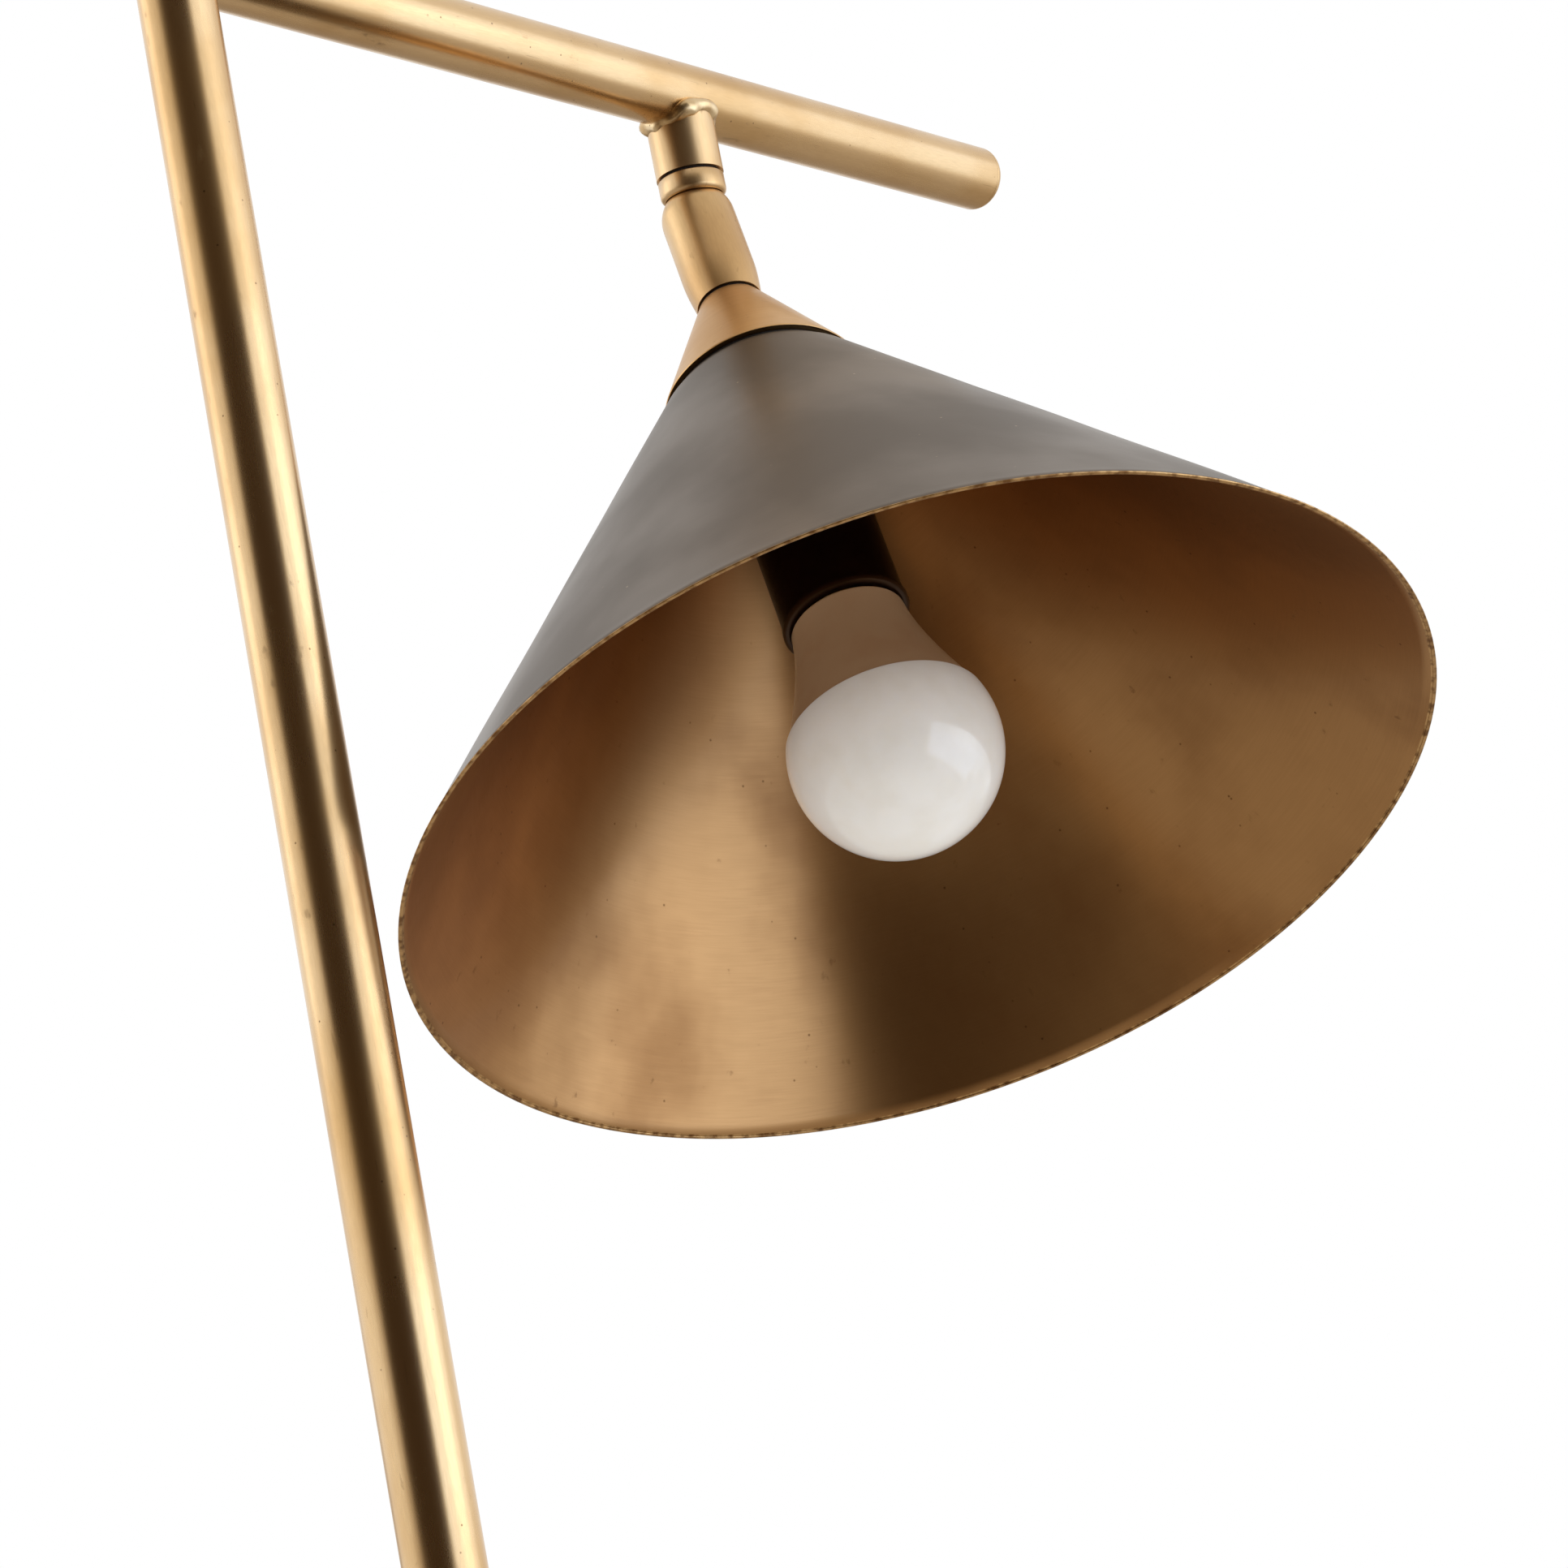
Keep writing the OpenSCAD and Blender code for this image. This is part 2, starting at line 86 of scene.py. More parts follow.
@dataclass(frozen=True)
class Axes:
    """A right-handed set of axes in the row frame.

    Attributes:
        origin: where the axes start, in metres.
        x: unit vector.
        z: unit vector, square to x.
    """

    origin: Vector
    x: Vector
    z: Vector

    def matrix(self) -> Matrix:
        """Works out where the axes stand.

        Returns:
            The matrix from these axes, in metres, to the row frame.
        """
        y = self.z.cross(self.x)
        turned = Matrix((self.x, y, self.z)).transposed().to_4x4()
        return Matrix.Translation(self.origin) @ turned

    def moved(self, z: float) -> "Axes":
        """The same axes, started z millimetres further along their z."""
        return Axes(self.matrix() @ Vector((0, 0, z * MM)), self.x, self.z)


def square_to(z: Vector) -> Vector:
    """A unit vector square to z, as level as it can be."""
    side = Vector((0, 0, 1)).cross(z)
    return side.normalized() if side.length > TINY else Vector((1, 0, 0))


def eased(corners: Sequence[Corner], steps: int = 5) -> Outline:
    """Rounds the corners of a closed outline.

    Args:
        corners: radius, height and easing radius of each corner.
        steps: straight pieces in each rounded corner.

    Returns:
        The outline's points.
    """
    points: Outline = []
    count = len(corners)
    for index, (radius, height, ease) in enumerate(corners):
        here = Vector((radius, height))
        if ease <= 0:
            points.append((radius, height))
            continue
        back = (Vector(corners[index - 1][:2]) - here).normalized()
        on = (Vector(corners[(index + 1) % count][:2]) - here).normalized()
        half = back.angle(on) / 2
        centre = here + (back + on).normalized() * (ease / math.sin(half))
        first = here + back * (ease / math.tan(half)) - centre
        last = here + on * (ease / math.tan(half)) - centre
        sweep = math.atan2(first.x * last.y - first.y * last.x, first.dot(last))
        for step in range(steps + 1):
            turn = sweep * step / steps
            c, s = math.cos(turn), math.sin(turn)
            x = centre.x + first.x * c - first.y * s
            points.append((x, centre.y + first.x * s + first.y * c))
    return points


def arc(
    centre: tuple[float, float], radius: float, start: float, end: float, steps: int
) -> Outline:
    """Points of a circular arc.

    Args:
        centre: radius and height of the arc's centre.
        radius: the arc's own radius.
        start: angle of its first point, in degrees.
        end: angle of its last point, in degrees.
        steps: straight pieces.

    Returns:
        The arc's points.
    """
    turns = [math.radians(start + (end - start) * i / steps) for i in range(steps + 1)]
    return [(centre[0] + radius * math.cos(t), centre[1] + radius * math.sin(t)) for t in turns]


def curve(
    first: Sequence[float], pull: Sequence[float], last: Sequence[float], steps: int
) -> Outline:
    """Points of a quadratic curve.

    Args:
        first: radius and height of its first point.
        pull: radius and height of the point that it is pulled towards.
        last: radius and height of its last point.
        steps: straight pieces.

    Returns:
        The curve's points.
    """
    points: Outline = []
    for index in range(steps + 1):
        t = index / steps
        w = ((1 - t) ** 2, 2 * t * (1 - t), t * t)
        points.append(tuple(w[0] * a + w[1] * b + w[2] * c for a, b, c in zip(first, pull, last)))
    return points


def finish_mesh(name: str, mesh: Mesh, materials: Sequence[Material]) -> Piece:
    """Shades a mesh smooth but for its real edges, and links it as an object at the origin.

    Args:
        name: the piece's name.
        mesh: its mesh, in metres in the row frame.
        materials: its finishes, in the order of the mesh's slots.

    Returns:
        The new object.
    """
    mesh.shade_smooth()
    mesh.set_sharp_from_angle(angle=math.radians(SHARP_DEG))
    for material in materials:
        mesh.materials.append(material)
    piece = bpy.data.objects.new(name, mesh)
    bpy.context.scene.collection.objects.link(piece)
    return piece


def revolve(
    name: str,
    spans: Sequence[Outline],
    axes: Axes,
    materials: Sequence[Material],
    turns: int = 96,
    shape: Callable[[float, float, float], tuple[float, float]] | None = None,
) -> Piece:
    """Turns an outline about the axes' z into a closed piece.

    Args:
        name: the piece's name.
        spans: stretches of one outline, in order; stretch number n takes material number n. The
            outline closes on itself, unless it starts and ends on the axis.
        axes: where it goes.
        materials: one for each stretch, or one for all.
        turns: faces round the axis.
        shape: gives the radius and the height to add at a radius, an angle and a height.

    Returns:
        The new object.
    """
    outline = [point for span in spans for point in span]
    slots = [min(i, len(materials) - 1) for i, span in enumerate(spans) for _ in span]
    count = len(outline)
    on_axis = outline[0][0] < TINY and outline[-1][0] < TINY
    area = sum(
        outline[i][0] * outline[(i + 1) % count][1] - outline[(i + 1) % count][0] * outline[i][1]
        for i in range(count)
    )
    if area < 0:
        outline.reverse()
        slots = [slots[max(count - 2 - i, 0)] for i in range(count)]
        if not on_axis:
            slots[-1] = len(materials) - 1
    run = [0.0]
    for i in range(count):
        a, b = outline[i], outline[(i + 1) % count]
        run.append(run[-1] + math.hypot(b[0] - a[0], b[1] - a[1]))
    matrix = axes.matrix()
    build = bmesh.new()
    around = build.loops.layers.uv.new("Around")
    rings: list[list[bmesh.types.BMVert]] = []
    for radius, height in outline:
        ring = []
        for step in range(1 if radius < TINY else turns):
            angle = 2 * math.pi * step / turns
            out, up = shape(radius, angle, height) if shape else (0.0, 0.0)
            far = radius + out
            local = Vector((far * math.cos(angle), far * math.sin(angle), height + up)) * MM
            ring.append(build.verts.new(matrix @ local))
        rings.append(ring)
    for row in range(count - 1 if on_axis else count):
        here, there = rings[row], rings[(row + 1) % count]
        for step in range(turns):
            corners = [
                (here, step, row),
                (here, step + 1, row),
                (there, step + 1, row + 1),
                (there, step, row + 1),
            ]
            verts, places = [], []
            for ring, at, level in corners:
                vert = ring[at % len(ring)]
                if vert not in verts:
                    verts.append(vert)
                    places.append((at / turns, run[level] * MM))
            if len(verts) < 3:
                continue
            face = build.faces.new(verts)
            face.material_index = slots[row]
            for loop, place in zip(face.loops, places):
                loop[around].uv = place
    mesh = bpy.data.meshes.new(name)
    build.to_mesh(mesh)
    build.free()
    return finish_mesh(name, mesh, materials)


def dressed(node: str, material: Material, body: str, slot: str, ease: float = 0.0) -> Piece:
    """Makes the shown piece of a frame node: the same solid, welded, shaded smooth and eased.

    Args:
        node: the frame node to stand for.
        material: its finish.
        body: the body that it rides on.
        slot: the record's material slot.
        ease: width of the rounded edges, in millimetres; 0 leaves them crisp.

    Returns:
        The new object.
    """
    build = bmesh.new()
    build.from_mesh(frame["nodes"][node].data)
    bmesh.ops.remove_doubles(build, verts=build.verts, dist=WELD_M)
    if ease:
        bmesh.ops.dissolve_limit(
            build, angle_limit=math.radians(FLAT_DEG), verts=build.verts, edges=build.edges
        )
    mesh = bpy.data.meshes.new(node + "_skin")
    build.to_mesh(mesh)
    build.free()
    piece = finish_mesh(node + "_skin", mesh, [material])
    if ease:
        bevel = piece.modifiers.new("eased_edges", "BEVEL")
        bevel.width = ease * MM
        bevel.segments = 2
        bevel.limit_method = "ANGLE"
        bevel.angle_limit = math.radians(EASED_DEG)
    return placed(piece, body, slot, node)


def reach(node: str, axes: Axes) -> tuple[Vector, Vector]:
    """Measures a frame node along some axes.

    Args:
        node: the frame node.
        axes: the axes to measure along.

    Returns:
        The low and high corners of its box in those axes, in millimetres.
    """
    back = axes.matrix().inverted()
    places = [back @ vert.co / MM for vert in frame["nodes"][node].data.vertices]
    return tuple(
        Vector([pick(place[i] for place in places) for i in range(3)]) for pick in (min, max)
    )


def drill(piece: Piece, axes: Axes, radius: float, depth: float) -> None:
    """Cuts a round hole in a piece.

    Args:
        piece: the closed piece to cut.
        axes: the hole starts at their origin and runs along their z.
        radius: the hole's radius, in millimetres.
        depth: how far it runs, in millimetres.
    """
    bit: Outline = [(0.0, 0.0), (radius, 0.0), (radius, depth), (0.0, depth)]
    cutter = revolve("drill", [bit], axes, [piece.data.materials[0]], turns=32)
    hole = piece.modifiers.new("hole", "BOOLEAN")
    hole.object, hole.operation, hole.solver = cutter, "DIFFERENCE", "EXACT"
    graph = bpy.context.evaluated_depsgraph_get()
    piece.data = bpy.data.meshes.new_from_object(piece.evaluated_get(graph), depsgraph=graph)
    piece.modifiers.clear()
    bpy.data.objects.remove(cutter)


def placed(piece: Piece, body: str, slot: str, *nodes: str) -> Piece:
    """Makes a piece ride on a body and hides the frame nodes that it stands for.

    Args:
        piece: the piece, with its place in its mesh.
        body: the body that it rides on.
        slot: the record's material slot; not used.
        *nodes: the frame nodes that it stands for, if any.

    Returns:
        The same piece.
    """
    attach(piece, body)
    if nodes:
        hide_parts(*nodes)
    LOG.info("%s rides on %s, %d faces", piece.name, body, len(piece.data.polygons))
    return piece


# --- node trees


def add(
    tree: Tree, kind: str, inputs: dict | None = None, out: int | str = 0, **settings: object
) -> Socket | None:
    """Adds a node with its settings, and links or sets its inputs.

    Args:
        tree: the tree to add to.
        kind: the node's type name.
        inputs: input name or number to a socket to link from, or to a value.
        out: name or number of the output to return.
        **settings: the node's own properties.

    Returns:
        That output's socket, or None for a node that has no outputs.
    """
    node = tree.nodes.new(kind)
    for name, value in settings.items():
        setattr(node, name, value)
    for key, value in (inputs or {}).items():
        if isinstance(value, Socket):
            tree.links.new(value, node.inputs[key])
        else:
            node.inputs[key].default_value = value
    return node.outputs[out] if node.outputs else None


def linear(colour: str) -> tuple[float, float, float, float]:
    """Turns an sRGB hex colour, such as '#b58e5a', into linear red, green, blue and alpha."""
    parts = [int(colour[i : i + 2], 16) / 255 for i in (1, 3, 5)]
    return (*(p / 12.92 if p <= 0.04045 else ((p + 0.055) / 1.055) ** 2.4 for p in parts), 1.0)


class Recipe:
    """A Geometry Nodes tree with named number inputs, run once on an object."""

    def __init__(self, name: str) -> None:
        """Starts a tree with a geometry input and output.

        Args:
            name: the tree's name.
        """
        self.tree = bpy.data.node_groups.new(name, "GeometryNodeTree")
        self.tree.interface.new_socket("Geometry", in_out="INPUT", socket_type="NodeSocketGeometry")
        self.tree.interface.new_socket(
            "Geometry", in_out="OUTPUT", socket_type="NodeSocketGeometry"
        )
        self.values: dict[str, float | int] = {}
        self.entry = self.tree.nodes.new("NodeGroupInput")

    def number(self, name: str, value: float | int) -> Socket:
        """Adds a named number input.

        Args:
            name: the input's name.
            value: its value, whole or not.

        Returns:
            The socket that carries it.
        """
        kind = "NodeSocketInt" if isinstance(value, int) else "NodeSocketFloat"
        item = self.tree.interface.new_socket(name, in_out="INPUT", socket_type=kind)
        self.values[item.identifier] = value
        return self.entry.outputs[name]

    def run(
        self, name: str, made: Socket, material: Material, axes: Axes, start: Mesh | None = None
    ) -> Piece:
        """Ends the tree, evaluates it and returns the result as a plain mesh object.

        Args:
            name: the piece's name.
            made: the socket that carries the finished geometry, in the axes' own metres.
            material: the finish to set.
            axes: where the result goes.
            start: the mesh that the tree starts from, if it needs one.

        Returns:
            The new object.
        """
        made = add(self.tree, "GeometryNodeRealizeInstances", {"Geometry": made})
        made = add(self.tree, "GeometryNodeSetShadeSmooth", {"Geometry": made})
        made = add(self.tree, "GeometryNodeSetMaterial", {"Geometry": made, "Material": material})
        add(self.tree, "NodeGroupOutput", {"Geometry": made})
        holder = bpy.data.objects.new(
            name + "_recipe", start or bpy.data.meshes.new(name + "_start")
        )
        bpy.context.scene.collection.objects.link(holder)
        modifier = holder.modifiers.new(name, "NODES")
        modifier.node_group = self.tree
        for identifier, value in self.values.items():
            modifier[identifier] = value
        graph = bpy.context.evaluated_depsgraph_get()
        mesh = bpy.data.meshes.new_from_object(holder.evaluated_get(graph), depsgraph=graph)
        holder.modifiers.clear()
        bpy.data.objects.remove(holder)
        mesh.transform(axes.matrix())
        return finish_mesh(name, mesh, [])


# --- finishes


def new_material(name: str) -> tuple[Material, Tree]:
    """Starts an empty node material.

    Args:
        name: the material's name.

    Returns:
        The material and its tree.
    """
    material = bpy.data.materials.new(name)
    material.use_nodes = True
    material.node_tree.nodes.clear()
    return material, material.node_tree


def millimetres(tree: Tree, axes: Axes | None = None) -> Socket:
    """Coordinates in millimetres, turned into a set of axes.

    Args:
        tree: the material's tree.
        axes: the part's axes; without them the coordinates stay in the row frame.

    Returns:
        The socket that carries the coordinates.
    """
    place = add(tree, "ShaderNodeTexCoord", out="Object")
    if axes:
        back = axes.matrix().inverted()
        place = add(
            tree,
            "ShaderNodeMapping",
            {"Vector": place, "Location": back.translation, "Rotation": back.to_euler()},
            vector_type="POINT",
        )
    return add(tree, "ShaderNodeVectorMath", {0: place, "Scale": 1 / MM}, operation="SCALE")


def patches(
    tree: Tree, place: Socket, size: Sequence[float], low: float, high: float, detail: float = 2.0
) -> Socket:
    """Soft patches from noise, as a number from 0 to 1.

    Args:
        tree: the material's tree.
        place: coordinates in millimetres.
        size: the patches' size along each axis, in millimetres.
        low: noise level at which a patch starts.
        high: noise level at which it is full.
        detail: octaves of finer noise.

    Returns:
        The socket that carries the number.
    """
    scaled = add(
        tree, "ShaderNodeVectorMath", {0: place, 1: [1 / s for s in size]}, operation="MULTIPLY"
    )
    level = add(tree, "ShaderNodeTexNoise", {"Vector": scaled, "Scale": 1.0, "Detail": detail})
    return add(
        tree, "ShaderNodeMapRange", {0: level, 1: low, 2: high}, interpolation_type="SMOOTHSTEP"
    )


def specks(tree: Tree, place: Socket, spacing: float, radius: float, share: float) -> Socket:
    """Small round specks, as a number from 0 to 1.

    Args:
        tree: the material's tree.
        place: coordinates in millimetres.
        spacing: distance between places where a speck may be, in millimetres.
        radius: the specks' radius, in millimetres.
        share: the part of those places that holds a speck.

    Returns:
        The socket that carries the number.
    """
    cells = add(tree, "ShaderNodeTexVoronoi", {"Vector": place, "Scale": 1 / spacing}).node.outputs
    near = add(
        tree,
        "ShaderNodeMapRange",
        {0: cells["Distance"], 1: radius / spacing, 2: 0.4 * radius / spacing},
    )
    pick = add(tree, "ShaderNodeSeparateColor", {0: cells["Color"]})
    chosen = add(tree, "ShaderNodeMath", {0: pick, 1: share}, operation="LESS_THAN")
    return add(tree, "ShaderNodeMath", {0: near, 1: chosen}, operation="MULTIPLY")


def layer(
    tree: Tree, below: Socket | tuple, pattern: Socket, strength: float, colour: str
) -> Socket:
    """Lays a colour over another where a pattern is.

    Args:
        tree: the material's tree.
        below: the colour underneath.
        pattern: number from 0 to 1 that says where the new colour goes.
        strength: how much of it there is where the pattern is full.
        colour: the new colour, as sRGB hex.

    Returns:
        The socket that carries the mixed colour.
    """
    amount = add(tree, "ShaderNodeMath", {0: pattern, 1: strength}, operation="MULTIPLY")
    return add(tree, "ShaderNodeMix", {0: amount, 6: below, 7: linear(colour)}, 2, data_type="RGBA")


def surface(tree: Tree, height: Socket, relief: float, depth: float, inputs: dict) -> None:
    """Ends a material with a surface that has a fine relief.

    Args:
        tree: the material's tree.
        height: number from 0 to 1 that the relief follows.
        relief: the relief's strength.
        depth: the relief's depth, in millimetres.
        inputs: the surface's other inputs.
    """
    fine = {"Height": height, "Strength": relief, "Distance": depth * MM}
    normal = add(tree, "ShaderNodeBump", fine)
    made = add(tree, "ShaderNodeBsdfPrincipled", {**inputs, "Normal": normal})
    add(tree, "ShaderNodeOutputMaterial", {"Surface": made})


@dataclass(frozen=True)
class AgedBrass:
    """Satin brass with a brown patina under clear lacquer.

    The mop leaves a fine grain, so highlights are soft and slightly broken. The patina is browner
    in broad patches, and the lacquer holds small brown stains, pits and fine scratches. The real
    grain is under 0.1 mm wide; grain_mm draws it coarse enough to show.
    """

    name: str
    axes: Axes
    grain: Grain = Grain.ALONG
    bright: str = "#e0be8e"
    patina: str = "#d0a871"
    stain: str = "#5c3c1c"
    roughness: float = 0.27
    grain_mm: float = 0.45
    grain_run_mm: float = 3.5
    patch_mm: float = 40.0
    pit_share: float = 0.55
    pit_mm: float = 0.38
    pit_spacing_mm: float = 4.2
    scratch: float = 0.2
    anisotropic: float = 0.0
    lacquer: float = 0.2
    relief: float = 0.04

    def build(self) -> Material:
        """Makes the material.

        Returns:
            The finished material.
        """
        material, tree = new_material(self.name)
        place = millimetres(tree, self.axes)
        fine, run = self.grain_mm, self.grain_run_mm
        size = (run, run, fine) if self.grain is Grain.AROUND else (fine, fine, run)
        brush = patches(tree, place, size, 0.28, 0.72, detail=3.0)
        clouds = patches(
            tree, place, (self.patch_mm, self.patch_mm, self.patch_mm * 1.6), 0.36, 0.68, detail=4.0
        )
        stains = patches(tree, place, (4.0, 4.0, 8.0), 0.67, 0.78, detail=6.0)
        scratches = patches(tree, place, (0.5, 5.0, 11.0), 0.72, 0.78, detail=1.0)
        pits = specks(tree, place, self.pit_spacing_mm, self.pit_mm, self.pit_share)
        metal = layer(tree, linear(self.bright), clouds, 1.0, self.patina)
        metal = layer(tree, metal, brush, 0.06, self.stain)
        metal = layer(tree, metal, stains, 0.35, self.stain)
        metal = layer(tree, metal, scratches, self.scratch, self.stain)
        metal = layer(tree, metal, pits, 0.75, self.stain)
        rough = add(
            tree,
            "ShaderNodeMapRange",
            {0: clouds, 3: self.roughness - 0.02, 4: self.roughness + 0.05},
        )
        worn = add(tree, "ShaderNodeMapRange", {0: brush, 3: -0.012, 4: 0.012})
        rough = add(tree, "ShaderNodeMath", {0: rough, 1: worn})
        dull = add(tree, "ShaderNodeMath", {0: stains, 1: 0.1}, operation="MULTIPLY")
        rough = add(tree, "ShaderNodeMath", {0: rough, 1: dull})
        relief = add(tree, "ShaderNodeMath", {0: brush, 1: pits}, operation="SUBTRACT")
        inputs = {
            "Base Color": metal,
            "Metallic": 1.0,
            "Roughness": rough,
            "Anisotropic": self.anisotropic,
            "Anisotropic Rotation": 0.25,
            "Coat Weight": self.lacquer,
            "Coat Roughness": 0.12,
        }
        if self.anisotropic:
            inputs["Tangent"] = add(
                tree, "ShaderNodeTangent", direction_type="UV_MAP", uv_map="Around"
            )
        surface(tree, relief, self.relief, 0.02, inputs)
        return material


@dataclass(frozen=True)
class DarkBronze:
    """Chemically darkened bronze finish on spun brass, satin lacquered.

    The dark coat keeps the metal's low, broad sheen on grey-brown, cloudy where the bath worked
    unevenly, with faint spinning rings and a few pale specks of bare metal.
    """

    name: str
    axes: Axes
    body: str = "#665747"
    cloud: str = "#564838"
    speck: str = "#b9a58a"
    roughness: float = 0.33

    def build(self) -> Material:
        """Makes the material.

        Returns:
            The finished material.
        """
        material, tree = new_material(self.name)
        place = millimetres(tree, self.axes)
        clouds = patches(tree, place, (60.0, 60.0, 110.0), 0.35, 0.68, detail=4.0)
        rings = patches(tree, place, (60.0, 60.0, 1.3), 0.3, 0.7, detail=2.0)
        pale = specks(tree, place, 7.0, 0.42, 0.3)
        tone = layer(tree, linear(self.body), clouds, 1.0, self.cloud)
        tone = layer(tree, tone, rings, 0.12, self.cloud)
        tone = layer(tree, tone, pale, 0.8, self.speck)
        rough = add(
            tree, "ShaderNodeMapRange", {0: clouds, 3: self.roughness, 4: self.roughness + 0.08}
        )
        surface(tree, rings, 0.06, 0.04, {"Base Color": tone, "Metallic": 1.0, "Roughness": rough})
        return material


@dataclass(frozen=True)
class Moulded:
    """A moulded plastic, rubber, fibre or phenolic part, or plain plated steel.

    Its tone drifts a little and its surface has the faint orange peel of the mould. Its reflections
    carry a painted tint, painted brown where it sits among brass. The glow is painted light: an
    emission that stands in for light that comes through thin opal plastic from behind.
    """

    name: str
    body: str
    shade: str
    roughness: float
    ior: float = 1.5
    metallic: float = 0.0
    coat: float = 0.0
    coat_roughness: float = 0.1
    # Painted reflection tint: colours the part's reflections, brown where it sits among brass.
    painted_reflection_tint: str = "#ffffff"
    skin: float = 0.0
    # Painted glow: emission on a part that is no lit lamp, standing in for light that comes through
    # thin opal plastic.
    glow: float = 0.0
    peel_mm: float = 0.8
    relief: float = 0.05

    def build(self) -> Material:
        """Makes the material.

        Returns:
            The finished material.
        """
        material, tree = new_material(self.name)
        place = millimetres(tree)
        drift = patches(tree, place, (14.0, 14.0, 14.0), 0.35, 0.7, detail=3.0)
        peel = patches(tree, place, (self.peel_mm,) * 3, 0.25, 0.75)
        tone = layer(tree, linear(self.body), drift, 1.0, self.shade)
        rough = add(
            tree, "ShaderNodeMapRange", {0: drift, 3: self.roughness, 4: self.roughness + 0.05}
        )
        inputs = {
            "Base Color": tone,
            "Metallic": self.metallic,
            "Roughness": rough,
            "Coat Weight": self.coat,
            "Coat Roughness": self.coat_roughness,
            # Painted reflection: the specular tint colours reflections as if they showed the brass
            # around the part.
            "Specular Tint": linear(self.painted_reflection_tint),
            # Painted glow: the emission paints in light that passes through a thin wall from
            # behind.
            "Emission Color": tone,
            "Emission Strength": self.glow,
            "Subsurface Weight": self.skin,
            "Subsurface Radius": (0.004, 0.0034, 0.0028),
            "Subsurface Scale": 1.0,
        }
        if not self.metallic:
            inputs["IOR"] = self.ior
        surface(tree, peel, self.relief, 0.05, inputs)
        return material


# --- where things are


@dataclass
class Layout:
    """The lamp's axes, worked out from the frame's joints and nodes."""

    ankle: float = 13.0
    leg: Axes = field(init=False)
    arm: Axes = field(init=False)
    pivot: Axes = field(init=False)
    head: Axes = field(init=False)
    rear: dict[str, Axes] = field(init=False)
    hub: Vector = field(init=False)

    def __post_init__(self) -> None:
        """Reads the axes from the frame."""
        joints = {joint["name"]: joint for joint in frame["joints"]}
        up = Vector(joints["swivel_turn"]["axis"]).normalized()
        out = Vector((up.z, 0, -up.x))
        centre = Vector(joints["head_tilt"]["pos_m"])
        self.pivot = Axes(centre, out, up)
        foot = self.middle("front_pad")
        self.leg = Axes(Vector((foot.x, foot.y, self.ankle * MM)), out, up)
        low, high = reach("boom_arm", self.leg)
        self.arm = Axes(self.leg.moved(z=(low.z + high.z) / 2).origin, up, out)
        down = Vector(joints["bulb_turn"]["axis"]).normalized()
        hinge = Vector(joints["head_tilt"]["axis"]).normalized()
        self.head = Axes(centre, hinge.cross(-down), -down)
        self.hub = self.middle("leg_joint_sleeve")
        self.rear = {}
        for side in ("left", "right"):
            foot = self.middle(side + "_pad")
            start = Vector((foot.x, foot.y, self.ankle * MM))
            rise = (self.hub - start).normalized()
            self.rear[side] = Axes(start, square_to(rise), rise)

    @staticmethod
    def middle(node: str) -> Vector:
        """The middle of a node's box."""
        low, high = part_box(node)
        return (low + high) / 2

    def down_stub(self) -> float:
        """Distance from the pivot up to the arm's axis, in millimetres."""
        return (self.arm.origin - self.pivot.origin).dot(self.pivot.z) / MM

    def along_arm(self) -> float:
        """Distance along the arm from the leg to the stub, in millimetres."""
        return (self.pivot.origin - self.arm.origin).dot(self.arm.z) / MM


